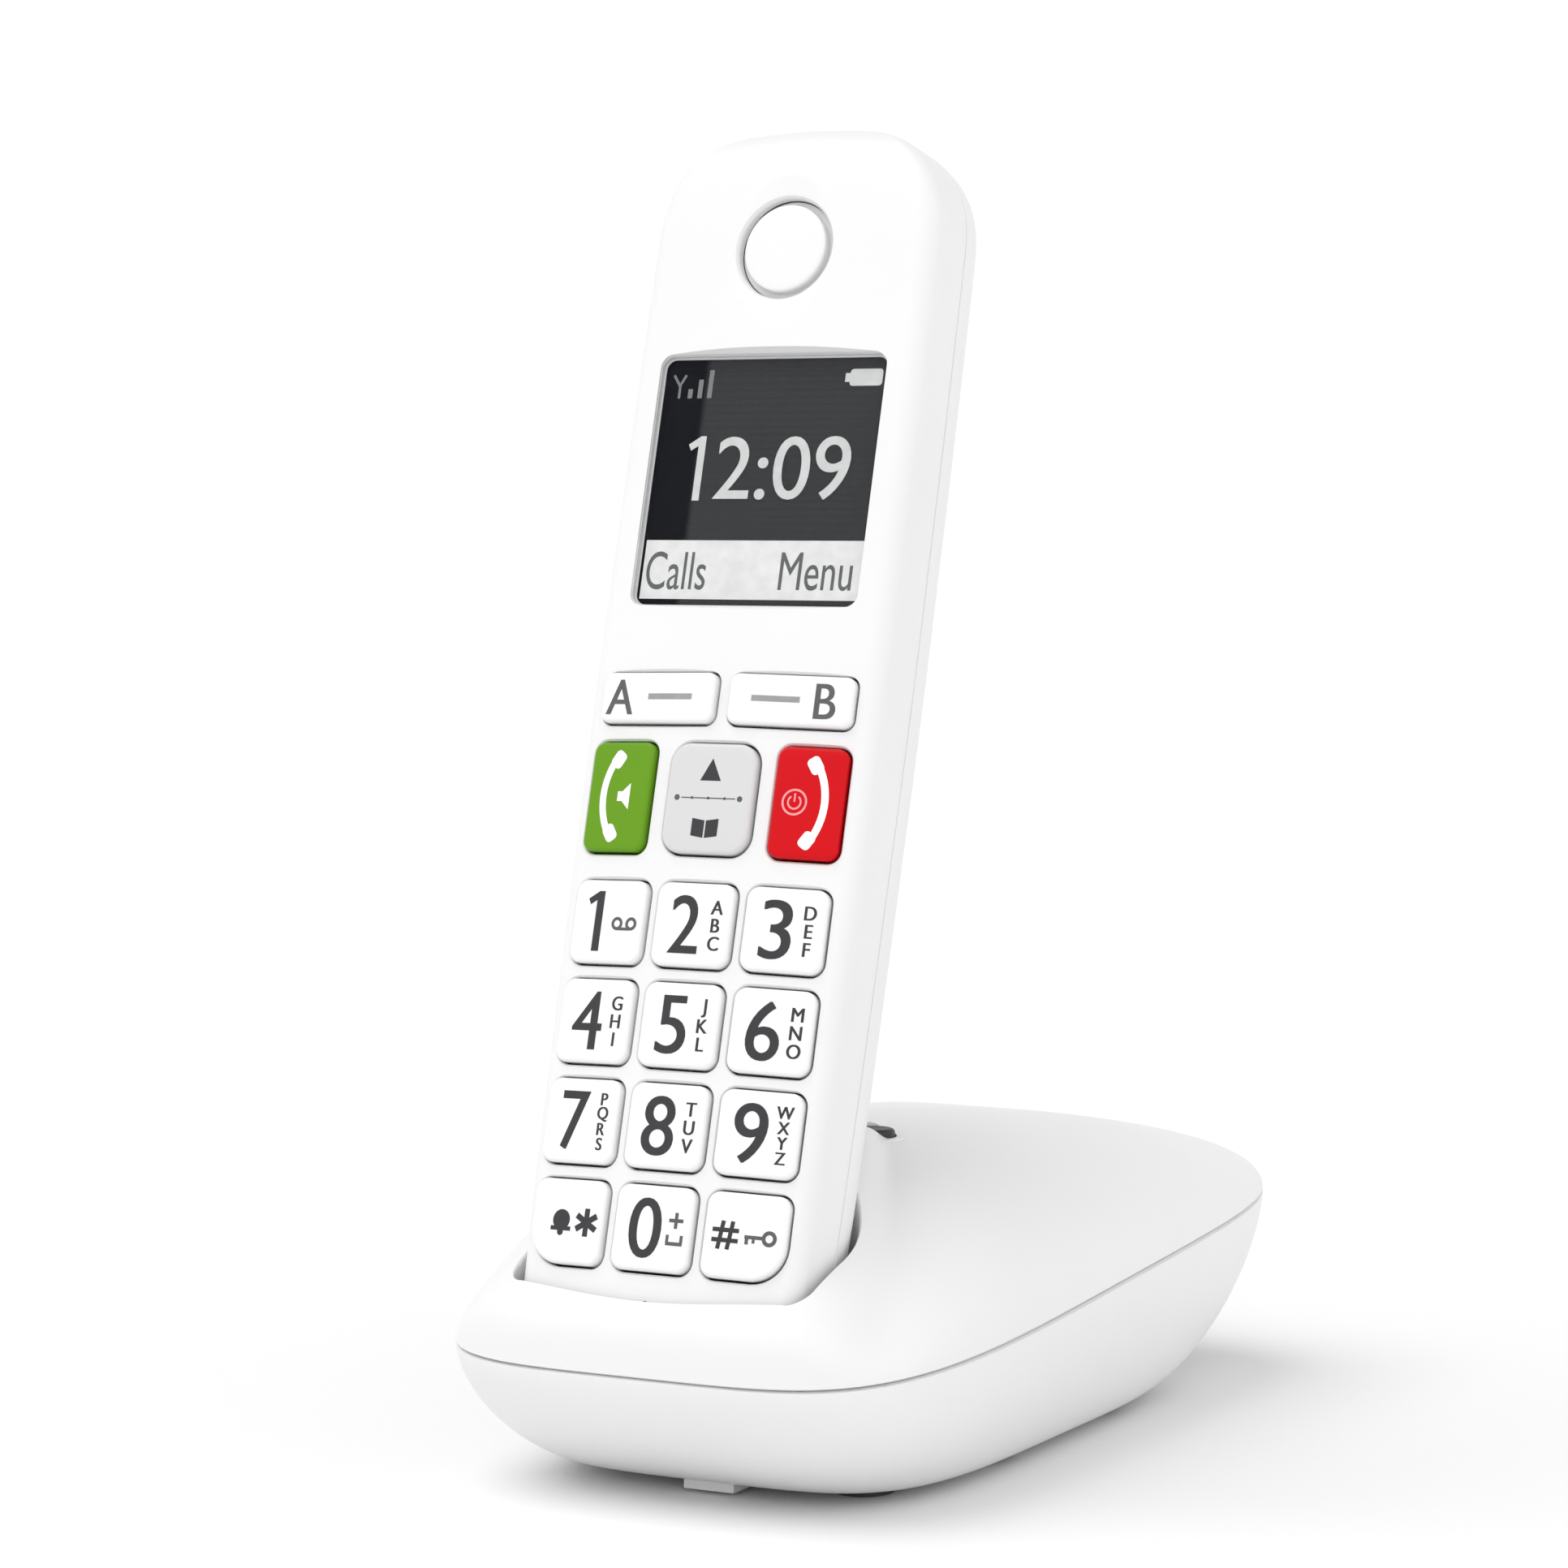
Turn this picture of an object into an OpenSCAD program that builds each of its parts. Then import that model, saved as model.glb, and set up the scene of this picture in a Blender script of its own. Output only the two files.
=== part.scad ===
// Cordless phone: a keypad handset standing in its desktop base.
// Millimetres. X to the right seen from the front, Y to the back, Z up, floor at Z = 0.
// The handset is drawn lying along its own axes and then leaned back into the cradle:
// x across, y from the front face towards the back, z along its length from the bottom end.

/* [Handset] */
// Overall length from the bottom end to the top end
handset_length = 179; // [150:1:210]
// Width at the widest place, about half way up
handset_width = 48; // [42:0.5:58]
// Depth of the front half, from the parting line to the crown of the face
front_depth = 11; // [9.5:0.5:14]
// Depth of the rear half, from the parting line to the back
rear_depth = 13; // [12:0.5:18]
// Wall of both handset halves
handset_wall = 1.8; // [1.4:0.1:2.2]
// How far the handset leans back in the cradle
lean = 15.5; // [8:0.5:20]
// Radius of the bulge across the front face
face_radius = 128; // [100:5:300]

/* [Keypad] */
// Distance between the columns of number keys
key_pitch_x = 14; // [12.5:0.25:15]
// Distance between the rows of number keys
key_pitch_z = 14.2; // [13:0.1:15.5]
// Width of a number key
key_w = 12.2; // [10:0.1:12.4]
// Height of a number key
key_h = 11.9; // [10:0.1:12.6]
// Height of the middle of the lowest row above the bottom end
first_row = 17; // [16:0.5:20]
// Height of the call, navigation and end keys
call_h = 15.8; // [13:0.1:17]
// Width of the call key and of the end key
call_w = 10.4; // [9:0.1:11]
// Width of the navigation key
nav_w = 13.8; // [12:0.1:15]
// Height of the two quick dial keys
dial_h = 7.3; // [6:0.1:9]
// How far the keys stand out of the face
key_rise = 0.8; // [0.5:0.1:1.2]
// Travel of a key
key_travel = 0.6; // [0.4:0.1:0.8]
// Tilt of the navigation key each way, degrees
nav_tilt = 3; // [1:0.5:4]

/* [Display and earpiece] */
// Width of the display window
window_w = 36.2; // [30:0.1:38]
// Height of the display window
window_h = 36.8; // [28:0.1:40]
// Height of the middle of the display above the bottom end
window_z = 124.6; // [122:0.1:130]
// Height of the middle of the earpiece above the bottom end
ear_z = 158.8; // [156:0.1:164]
// Radius of the earpiece slot, outside
ear_r = 7.5; // [6:0.1:9]
// Width of the earpiece slot
ear_slot = 1; // [0.6:0.1:1.6]
// Radius of the shallow dish round the earpiece
dish_r = 11; // [10:0.5:14]
// Depth of that dish
dish_deep = 0.5; // [0.3:0.1:0.7]

/* [Battery bay] */
// Diameter of one rechargeable cell
cell_d = 10.5; // [10:0.1:11]
// Length of one rechargeable cell
cell_l = 44.5; // [42:0.5:46]
// Height of the lower edge of the battery cover above the bottom end
cover_z = 48; // [46:1:54]
// Length of the battery cover
cover_l = 62; // [60:1:66]
// Width of the battery cover
cover_w = 29.6; // [29:0.2:32]

/* [Base] */
// Width of the base at its parting line
base_w = 82.4; // [78:0.2:100]
// Depth of the base at its parting line
base_d = 154.2; // [140:0.2:186]
// Height of the parting line above the table at the middle of the base
seam_mid = 25.8; // [24:0.2:30]
// Rise of the parting line towards the back, per millimetre
seam_rise = 0.07; // [0.04:0.01:0.1]
// Height of the highest place, behind the handset
crest_h = 49.9; // [46:0.1:56]
// Height of the front lip
lip_h = 34.5; // [32:0.1:36]
// Fall of the top towards the back, per millimetre
crest_fall = 0.05; // [0.02:0.01:0.1]
// Wall of both base shells
base_wall = 2.2; // [1.8:0.1:2.6]
// Inset of the underside from the parting line, at each side
under_in_x = 11.5; // [8:0.5:14]
// Inset of the underside from the parting line, at the front
under_front = 24.5; // [18:0.5:28]
// Inset of the underside from the parting line, at the back
under_back = 34; // [26:0.5:38]
// How far the outline is squared off, 2 is an ellipse
corner_power = 4.4; // [3.4:0.1:5]
// Height of the underside above the table
foot_lift = 1.5; // [1.2:0.1:2.2]

/* [Cradle] */
// Distance from the front of the base to the handset's face at its bottom end
lip_depth = 2.2; // [2:0.1:4]
// Height of the handset's bottom edge above the table
seat_h = 23.7; // [22.9:0.1:26]
// Depth of a charging pin's stroke
pin_travel = 1; // [0.5:0.1:1.5]
// Distance between the two charging pins
pin_pitch = 18; // [14:1:22]

/* [Clearances] */
// Gap all round a key in its opening
key_gap = 0.3; // [0.2:0.05:0.5]
// Gap between the handset and the cradle wall
cradle_gap = 0.8; // [0.5:0.1:1.2]
// Gap round pieces that are laid into a seat
seat_gap = 0.15; // [0.1:0.05:0.3]
// Radial clearance of a charging pin in its hole
pin_gap = 0.15; // [0.1:0.05:0.3]
// Gap between the two halves of a housing
part_gap = 0.1; // [0.05:0.05:0.2]

/* [Hidden] */
$fn = 48;
eps = 0.01;

// ---- handset outlines -------------------------------------------------------------
hw = handset_width / 2;
// the handset is drawn 179 long: places and heights on its face follow its real length
stretch = handset_length / 179;
row_pitch = key_pitch_z * stretch;
num_h = key_h * stretch;
row_one = first_row * stretch;
big_h = call_h * stretch;
quick_h = dial_h * stretch;
glass_h = window_h * stretch;
glass_z = window_z * stretch;
ear_up = ear_z * stretch;
// depths inside, and the rear half made deep enough for the cells
mat_y = 5;
mat_t = 0.8;
pcb_y = mat_y + mat_t + 0.1;
pcb_t = 1.2;
bay_y = pcb_y + pcb_t + 1.5;
bay_t = 1.2;
rear_d = max(rear_depth, bay_y + bay_t + 0.35 + cell_d + 0.9 + handset_wall - front_depth);

// width against height, as a share of half the widest width
function body_w(z) = lookup(z / handset_length, [
  [0, 0.925], [0.06, 0.945], [0.17, 0.965], [0.33, 0.985], [0.52, 1], [0.75, 0.995], [1, 0.975]]);
// rounding of the ends: 1 in the body, falling to the end value
function end_top(z, z1, p) = z <= z1 ? 1
  : pow(max(0, 1 - pow((z - z1) / (handset_length - z1), p)), 1 / p);
function end_low(z, r, h) = z >= r ? 1 : 1 - r / h + sqrt(max(0, r * r - (r - z) * (r - z))) / h;
top_z1 = handset_length - 19;
function half_w(z) = hw * body_w(z) * end_top(z, top_z1, 2.5) * end_low(z, 5, hw);
function depth_f(z) = front_depth * end_top(z, handset_length - 10, 2.4) * end_low(z, 4, front_depth);
function depth_r(z) = rear_d * end_top(z, handset_length - 14, 2.4) * end_low(z, 4, rear_d);

// stations along the length: the last one leaves a small flat at the tip
low_z = [0, 0.15, 0.6, 1.4, 2.6, 4, 5];
mid_z = [for (i = [1:14]) 5 + (top_z1 - 5) * i / 14];
tip_k = [0.2, 0.38, 0.54, 0.68, 0.79, 0.875, 0.935, 0.972, 0.992];
tip_z = [for (k = tip_k) top_z1 + (handset_length - top_z1) * k];
station = concat(low_z, mid_z, tip_z);

// the front half's section: a bulged face, a rounded edge, and a side that leans out to the seam
edge_x = 1 - 3.5 / 24;
edge_y = pow(edge_x * 24, 2) / (2 * face_radius) / 11;
side_x = 1 - 0.6 / 24;
side_y = 5.2 / 11;
front_right = concat(
  [[1, 0], [side_x + (1 - side_x) * 0.5, (1 - side_y) / 2]],
  [for (a = [0:15:90]) [edge_x + (side_x - edge_x) * cos(a), 1 - side_y + (side_y - edge_y) * sin(a)]],
  [for (k = [0.82, 0.64, 0.46, 0.28, 0.12]) [edge_x * k, 1 - edge_y * k * k]]);
front_unit = concat(front_right, [for (i = [len(front_right) - 1:-1:0]) [-front_right[i][0], front_right[i][1]]]);
// the rear half's section: a squared-off half ellipse
rear_unit = [for (i = [0:24]) let (t = 180 * i / 24, c = cos(t), s = sin(t))
  [sign(c) * pow(abs(c), 2 / 2.6), pow(abs(s), 2 / 2.6)]];

// one C-shaped loop per station, outer points then inner points, joined into a closed thin shell
function loop(unit, w, d, side, z) = [for (u = unit) [u[0] * w, front_depth - side * d * u[1], z]];
function inner_z(z, wall) = wall + z * (handset_length - 2 * wall) / handset_length;
module half_shell(unit, side, wall, grow = 0) {
  n = len(unit);
  m = len(station);
  cap = handset_length;
  outer = [for (z = station) loop(unit,
    half_w(z) + grow, (side > 0 ? depth_f(z) : depth_r(z)) + grow, side, z)];
  inner = [for (z = station) loop(unit,
    max(0.4, half_w(z) - wall), max(0.3, (side > 0 ? depth_f(z) : depth_r(z)) - wall), side, inner_z(z, wall))];
  pts = [for (j = [0:m - 1]) each concat(outer[j], inner[j])];
  k = 2 * n;
  o = function(j, i) j * k + i;
  q = function(j, i) j * k + n + i;
  faces = concat(
    [for (j = [0:m - 2], i = [0:n - 2]) each [
      [o(j, i), o(j, i + 1), o(j + 1, i + 1)], [o(j, i), o(j + 1, i + 1), o(j + 1, i)],
      [q(j, i), q(j + 1, i + 1), q(j, i + 1)], [q(j, i), q(j + 1, i), q(j + 1, i + 1)]]],
    [for (j = [0:m - 2]) each [
      [o(j, 0), o(j + 1, 0), q(j + 1, 0)], [o(j, 0), q(j + 1, 0), q(j, 0)],
      [o(j, n - 1), q(j, n - 1), q(j + 1, n - 1)], [o(j, n - 1), q(j + 1, n - 1), o(j + 1, n - 1)]]],
    [[for (i = [n - 1:-1:0]) o(0, i)], [for (i = [0:n - 1]) q(0, i)],
     [for (i = [0:n - 1]) o(m - 1, i)], [for (i = [n - 1:-1:0]) q(m - 1, i)],
     [o(0, 0), q(0, 0), q(0, n - 1), o(0, n - 1)],
     [o(m - 1, 0), o(m - 1, n - 1), q(m - 1, n - 1), q(m - 1, 0)]]);
  flip = side > 0 ? faces : [for (f = faces) [for (i = [len(f) - 1:-1:0]) f[i]]];
  polyhedron(pts, flip, convexity = 6);
}

// ---- places on the face -----------------------------------------------------------
function tilt(x) = asin(x / face_radius);
function sag(x) = face_radius * (1 - cos(tilt(x)));
module at_face(x, z) {
  translate([x, sag(x), z]) rotate([0, 0, tilt(x)]) children();
}
// extrudes a flat outline, drawn in x and z, from depth y0 to depth y1
module slab(y0, y1) {
  translate([0, y1, 0]) rotate([90, 0, 0]) linear_extrude(y1 - y0) children();
}
module rounded(w, h, r) {
  square([w - 2 * r, h], center = true);
  square([w, h - 2 * r], center = true);
  for (x = [-1, 1], y = [-1, 1]) translate([x * (w / 2 - r), y * (h / 2 - r)]) circle(r);
}
// a rounded outline whose lower corner on one side has a bigger radius
module one_corner(w, h, r, big, side) {
  intersection() {
    rounded(w, h, r);
    union() {
      translate([-side * big / 2, 0]) square([w - big, h + 1], center = true);
      translate([0, big / 2]) square([w + 1, h - big], center = true);
      translate([side * (w / 2 - big), -(h / 2 - big)]) circle(big);
    }
  }
}
row_z = [for (i = [0:3]) row_one + row_pitch * i];
call_z = row_z[3] + num_h / 2 + 4.2 + big_h / 2;
dial_z = call_z + big_h / 2 + 2.9 + quick_h / 2;
call_x = nav_w / 2 + 3 + call_w / 2;
dial_w = call_x + call_w / 2 - 1.1 - 0.2;
dial_x = 1.1 + dial_w / 2;
key_back = 2.4;

// every key: name, x, z, width, height, corner radius, side of the big corner
keys = concat(
  [for (i = [1:9]) [str("key_", i), ((i - 1) % 3 - 1) * key_pitch_x, row_z[3 - floor((i - 1) / 3)],
    key_w, num_h, 1.8, 0]],
  [["key_star", -key_pitch_x, row_z[0], key_w, num_h, 1.8, -1],
   ["key_0", 0, row_z[0], key_w, num_h, 1.8, 0],
   ["key_hash", key_pitch_x, row_z[0], key_w, num_h, 1.8, 1],
   ["key_talk", -call_x, call_z, call_w, big_h, 1.6, 0],
   ["key_end", call_x, call_z, call_w, big_h, 1.6, 0],
   ["key_nav", 0, call_z, nav_w, big_h, 3, 0],
   ["key_a", -dial_x, dial_z, dial_w, quick_h, 1.4, 0],
   ["key_b", dial_x, dial_z, dial_w, quick_h, 1.4, 0]]);

module key_outline(k, g) {
  if (k[6] == 0) rounded(k[3] + 2 * g, k[4] + 2 * g, k[5] + g);
  else one_corner(k[3] + 2 * g, k[4] + 2 * g, k[5] + g, 5 + g, k[6]);
}
module key_hole(k) {
  at_face(k[1], k[2]) slab(-4, 6.5) key_outline(k, key_gap);
}
module key_body(k) {
  at_face(k[1], k[2]) {
    slab(-key_rise + 0.35, key_back) key_outline(k, 0);
    slab(-key_rise, -key_rise + 0.36) key_outline(k, -0.35);
  }
}
// depth of a key's underside at its middle
function under_y(x) = sag(x) + key_back;

// ---- stack of the handset's inner pieces, by depth ---------------------------------
lens_y = 1.35;
lens_t = 1.2;
lcd_y = lens_y + lens_t + 0.25;
lcd_t = 1.9;
cell_y = bay_y + bay_t + 0.35 + cell_d / 2;
bay_w = 2 * cell_d + 1.6;
bay_z0 = cover_z + 3;
bay_z1 = cover_z + cover_l - 3;
cell_z0 = bay_z0 + (bay_z1 - bay_z0 - cell_l) / 2;
gauze_y = 2.35;
screw_top = [hw * 0.667, handset_length - 27 * stretch];
screw_low = [hw * 0.54, 6.4];
screw_xz = [[screw_top[0], screw_top[1]], [-screw_top[0], screw_top[1]],
            [screw_low[0], screw_low[1]], [-screw_low[0], screw_low[1]]];
screw_r = 1;
ringer_z = cover_z + cover_l + 20;
pad_y = front_depth + 5;

module at_handset() {
  translate([0, -base_d / 2 + lip_depth, seat_h]) rotate([-lean, 0, 0]) children();
}

// ---- handset pieces ---------------------------------------------------------------
module handset_front_shell() color("white") at_handset() {
  difference() {
    union() {
      half_shell(front_unit, 1, handset_wall);
      // frame round the display
      translate([0, 0, glass_z]) slab(handset_wall - 0.4, lcd_y + lcd_t) difference() {
        rounded(window_w + 4, glass_h + 4, 2);
        rounded(window_w - 3, glass_h - 3, 1);
      }
      // seat of the earpiece
      translate([0, 0, ear_up]) slab(handset_wall - 0.4, 4) difference() {
        circle(dish_r);
        circle(dish_r - 1.4);
      }
      for (p = screw_xz) translate([p[0], front_depth - part_gap, p[1]]) rotate([90, 0, 0])
        cylinder(r = 2.6, h = front_depth - part_gap - 2.2);
    }
    for (k = keys) key_hole(k);
    // lens seat, and the opening behind it
    translate([0, 0, glass_z]) slab(-3, lens_y + lens_t + 0.05)
      rounded(window_w + 2 * seat_gap, glass_h + 2 * seat_gap, 1.8);
    translate([0, 0, glass_z]) slab(0, 8) rounded(window_w - 3.01, glass_h - 3.01, 1);
    // earpiece opening and the dish round it
    translate([0, 3, ear_up]) rotate([90, 0, 0]) cylinder(r = ear_r, h = 6);
    dish_s = (dish_r * dish_r + dish_deep * dish_deep) / (2 * dish_deep);
    translate([0, dish_deep - dish_s, ear_up]) sphere(r = dish_s, $fn = 96);
    // microphone hole
    translate([0, 4, row_one - num_h / 2 - 4.6]) rotate([90, 0, 0]) cylinder(r = 0.6, h = 8);
    for (p = screw_xz) translate([p[0], front_depth, p[1]]) rotate([90, 0, 0])
      cylinder(r = screw_r + 0.05, h = front_depth - 4.5);
  }
}

// depth of the rear skin's inner side at a place
function skin_y(x, z) = front_depth + part_gap
  + (depth_r(z) - handset_wall) * pow(1 - pow(abs(x) / (half_w(z) - handset_wall), 2.6), 1 / 2.6);
module rear_skin() {
  half_shell(rear_unit, -1, handset_wall);
}
module handset_rear_shell() color("whitesmoke") at_handset() {
  difference() {
    union() {
      translate([0, part_gap, 0]) difference() {
        rear_skin();
        translate([-cover_w / 2 - 0.2, front_depth + 4, cover_z - 0.2])
          cube([cover_w + 0.4, rear_d + 5, cover_l + 0.4]);
      }
      // ledge under the edge of the cover, and the tray that holds the cells
      ledge_y = front_depth + rear_d - 5.3;
      ledge_x = (half_w(cover_z) - handset_wall)
        * pow(1 - pow((ledge_y + 0.75 - front_depth) / (rear_d - handset_wall), 2.6), 1 / 2.6) + 0.4;
      translate([-ledge_x, ledge_y, cover_z - 1.6]) cube([2 * ledge_x, 1.5, cover_l + 3.2]);
      translate([-bay_w / 2 - 1.4, bay_y, bay_z0 - 1.4])
        cube([bay_w + 2.8, ledge_y - bay_y + 1, bay_z1 - bay_z0 + 2.8]);
      // screw posts that stand on the front half's posts
      for (p = screw_xz) translate([p[0], front_depth + part_gap, p[1]]) rotate([-90, 0, 0])
        cylinder(r = 2.6, h = skin_y(p[0], p[1]) - front_depth + 0.2);
    }
    translate([-bay_w / 2, bay_y + bay_t, bay_z0]) cube([bay_w, 40, bay_z1 - bay_z0]);
    for (p = screw_xz) {
      translate([p[0], front_depth - 1, p[1]]) rotate([-90, 0, 0]) cylinder(r = screw_r + 0.2, h = rear_d + 4);
      translate([p[0], front_depth + 3, p[1]]) rotate([-90, 0, 0]) cylinder(r = 2, h = rear_d + 4);
    }
    // sound holes of the ringer
    for (a = [0:60:300]) translate([4.2 * cos(a), front_depth + 6, ringer_z + 4.2 * sin(a)])
      rotate([-90, 0, 0]) cylinder(r = 0.8, h = rear_d);
    translate([0, front_depth + 6, ringer_z]) rotate([-90, 0, 0]) cylinder(r = 0.8, h = rear_d);
    // seats of the charging contacts in the bottom end
    for (x = [-1, 1]) translate([x * pin_pitch / 2 - 2.9, pad_y - 1.9, -1]) {
      cube([5.8, 3.8, 1.9]);
      translate([1.95, 0.95, 0]) cube([1.9, 1.9, 6]);
    }
  }
}
module battery_cover() color("whitesmoke") at_handset() {
  translate([0, part_gap, 0]) intersection() {
    rear_skin();
    translate([-cover_w / 2, front_depth + 4, cover_z]) cube([cover_w, rear_d + 5, cover_l]);
  }
}
module battery_cell(x) {
  translate([x, cell_y, cell_z0]) cylinder(d = cell_d, h = cell_l - 1.2);
  translate([x, cell_y, cell_z0 + cell_l - 1.2 - eps]) cylinder(d = cell_d * 0.36, h = 1.2);
}
module battery_cell_left() color("seagreen") at_handset() {
  battery_cell(-cell_d / 2 - 0.3);
}
module battery_cell_right() color("seagreen") at_handset() {
  battery_cell(cell_d / 2 + 0.3);
}
module battery_contacts() color("silver") at_handset() {
  gap = cell_z0 - bay_z0;
  for (x = [-1, 1]) {
    translate([x * (cell_d / 2 + 0.3) - 3.6, cell_y - 4, bay_z0 + 0.05]) cube([7.2, 7.4, 0.5]);
    translate([x * (cell_d / 2 + 0.3), cell_y, bay_z0 + 0.5]) cylinder(r1 = 3, r2 = 1.6, h = gap - 0.6);
    translate([x * (cell_d / 2 + 0.3) - 3.6, cell_y - 4, bay_z1 - 0.55]) cube([7.2, 7.4, 0.5]);
    translate([x * (cell_d / 2 + 0.3), cell_y, bay_z1 - gap + 0.1]) cylinder(r = 1.4, h = gap - 0.6);
  }
}
module display_lens() color([0.2, 0.21, 0.23]) at_handset()
  translate([0, 0, glass_z]) slab(lens_y, lens_y + lens_t) rounded(window_w, glass_h, 1.7);
module lcd_panel() color("darkgray") at_handset()
  translate([0, 0, glass_z]) slab(lcd_y, lcd_y + lcd_t) rounded(window_w - 3.6, glass_h - 3.6, 0.6);
module lcd_frame() color("white") at_handset()
  translate([0, 0, glass_z]) slab(lcd_y + lcd_t + 0.05, pcb_y - 0.05) difference() {
    rounded(window_w - 0.6, glass_h + 2, 1.2);
    rounded(window_w - 9, glass_h - 9, 1);
  }
module earpiece_cap() color("white") at_handset()
  translate([0, 0, ear_up]) {
    slab(dish_deep - 0.15, gauze_y - 0.05) circle(ear_r - ear_slot);
    slab(1.2, gauze_y - 0.05) for (a = [0:120:240]) rotate(a) translate([0, ear_r - ear_slot])
      square([1.6, 2 * ear_slot - 0.1], center = true);
  }
module earpiece_gauze() color("dimgray") at_handset()
  translate([0, 0, ear_up]) slab(gauze_y, gauze_y + 0.5) circle(ear_r + 1.4);
module earpiece_speaker() color("darkslategray") at_handset()
  translate([0, 0, ear_up]) {
    slab(gauze_y + 0.55, gauze_y + 2.4) circle(ear_r + 1.6);
    slab(gauze_y + 2.39, gauze_y + 3.4) circle(ear_r - 1);
  }
module handset_pcb() color("darkgreen") at_handset() {
  z0 = 10;
  z1 = handset_length - 9;
  difference() {
    translate([0, 0, (z0 + z1) / 2]) slab(pcb_y, pcb_y + pcb_t)
      rounded(2 * (half_w(z1) - handset_wall - 0.3), z1 - z0, 4);
    for (x = [-1, 1]) translate([x * screw_top[0], 20, screw_top[1]]) rotate([90, 0, 0]) cylinder(r = 3, h = 20);
  }
  // the radio can and the processor, soldered on the back
  translate([-8, pcb_y + pcb_t - eps, bay_z1 + 5]) cube([16, 2, 9]);
  translate([-6, pcb_y + pcb_t - eps, 22]) cube([12, 1.2, 12]);
}
module handset_antenna() color("gold") at_handset()
  translate([0, pcb_y + pcb_t + 0.05, 0]) {
    translate([-9, 0, handset_length - 14]) cube([18, 0.6, 2.4]);
    translate([-9, 0, handset_length - 19]) cube([1.6, 0.6, 5.1]);
    translate([-4, 0, handset_length - 19]) cube([1.6, 0.6, 5.1]);
  }
module keypad_mat() color("lightgray") at_handset() {
  z0 = row_one - num_h / 2 + 0.4;
  z1 = dial_z + quick_h / 2 + 1.4;
  translate([0, 0, (z0 + z1) / 2]) slab(mat_y, mat_y + mat_t) rounded(2 * hw - 9.6, z1 - z0, 3);
  for (k = keys) if (k[0] != "key_nav") {
    y = under_y(k[1]) + key_travel + 0.15 + 2.4 * sin(abs(tilt(k[1])));
    if (mat_y - y > 0.1) translate([k[1], 0, k[2]]) slab(y, mat_y + eps) circle(2.4);
  }
  for (z = [-1, 1]) translate([0, 0, call_z + z * big_h * 0.3]) slab(key_back + 0.55, mat_y + eps) circle(2);
}
module ringer_speaker() color("dimgray") at_handset()
  translate([0, 0, ringer_z]) {
    slab(front_depth + rear_d - 6.6, front_depth + rear_d - 3) circle(7);
    slab(front_depth + rear_d - 8, front_depth + rear_d - 6.59) circle(4);
  }
module microphone() color("dimgray") at_handset()
  translate([0, 0, 7.2]) slab(3.4, 6) circle(2.2);
module handset_charge_pads() color("silver") at_handset()
  for (x = [-1, 1]) translate([x * pin_pitch / 2 - 2.75, pad_y - 1.75, 0]) {
    cube([5.5, 3.5, 0.8]);
    translate([1.9, 0.9, 0.79]) cube([1.7, 1.7, 2.6]);
  }
module handset_screws() color("gray") at_handset()
  for (p = screw_xz) translate([p[0], 0, p[1]]) {
    translate([0, 5, 0]) rotate([-90, 0, 0]) cylinder(r = screw_r, h = front_depth - 1.9);
    difference() {
      translate([0, front_depth + 3.02, 0]) rotate([-90, 0, 0]) cylinder(r = 1.8, h = 1.5);
      translate([-1.3, front_depth + 3.9, -0.2]) cube([2.6, 1, 0.4]);
      translate([-0.2, front_depth + 3.9, -1.3]) cube([0.4, 1, 2.6]);
    }
  }

// ---- base outlines ----------------------------------------------------------------
bx = base_w / 2;
by = base_d / 2;
function seam_z(y) = seam_mid + seam_rise * y;
function smooth(t) = let (c = max(0, min(1, t))) c * c * (3 - 2 * c);
rise_l = 44;
crest_y = -by + rise_l;
function crown(y) = lip_h + (crest_h - lip_h) * smooth((y + by) / rise_l) - crest_fall * max(0, y - crest_y);
// height of the top above the parting line at a share u of the way out, in direction k:
// an ellipse all round, but fuller in front of the handset, where it makes the lip
function dome_p(k) = 1.95 + 3 * smooth((0.86 - abs(k[0])) / 0.3) * smooth((-0.5 - k[1]) / 0.4);
function dome(u, k) = pow(max(0, 1 - pow(u, dome_p(k))), 1 / dome_p(k));
ring_n = 72;
ring = [for (i = [0:ring_n - 1]) let (t = 360 * i / ring_n, c = cos(t), s = sin(t))
  [sign(c) * pow(abs(c), 2 / corner_power), sign(s) * pow(abs(s), 2 / corner_power)]];
function top_point(k, u, in) = let (x = k[0] * u * (bx - in), y = k[1] * u * (by - in), z0 = seam_z(y))
  [x, y, u > 0.9999 ? z0 : z0 + (crown(y) - in - z0) * dome(u, k)];
function top_height(x, y) = let (
  u = pow(pow(abs(x) / bx, corner_power) + pow(abs(y) / by, corner_power), 1 / corner_power),
  k = u > 0 ? [x / bx / u, y / by / u] : [0, 1])
  seam_z(y) + (crown(y) - seam_z(y)) * dome(min(u, 1), k);
function hull_in(t) = 1 - pow(max(0, 1 - pow(t, 1.6)), 1 / 1.6);
function hull_point(k, t, in) = let (h = hull_in(t),
  x = k[0] * (bx - in - under_in_x * h), y = k[1] * (by - in * 1.2 - (k[1] < 0 ? under_front : under_back) * h), f = foot_lift + in)
  [x, y, seam_z(y) * (1 - t) + f * t];

// joins rings of points, from the first to the last, then fans the last to a middle point
function skin_faces(n, m, o) = [for (j = [0:m - 2], i = [0:n - 1]) each [
  [o + j * n + i, o + j * n + (i + 1) % n, o + (j + 1) * n + (i + 1) % n],
  [o + j * n + i, o + (j + 1) * n + (i + 1) % n, o + (j + 1) * n + i]]];
function turned(faces) = [for (f = faces) [f[2], f[1], f[0]]];
top_u = [1, 0.995, 0.98, 0.955, 0.92, 0.87, 0.8, 0.7, 0.57, 0.42, 0.27, 0.12];
hull_t = [0, 0.12, 0.25, 0.4, 0.55, 0.68, 0.79, 0.88, 0.945, 0.985, 1];

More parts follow.
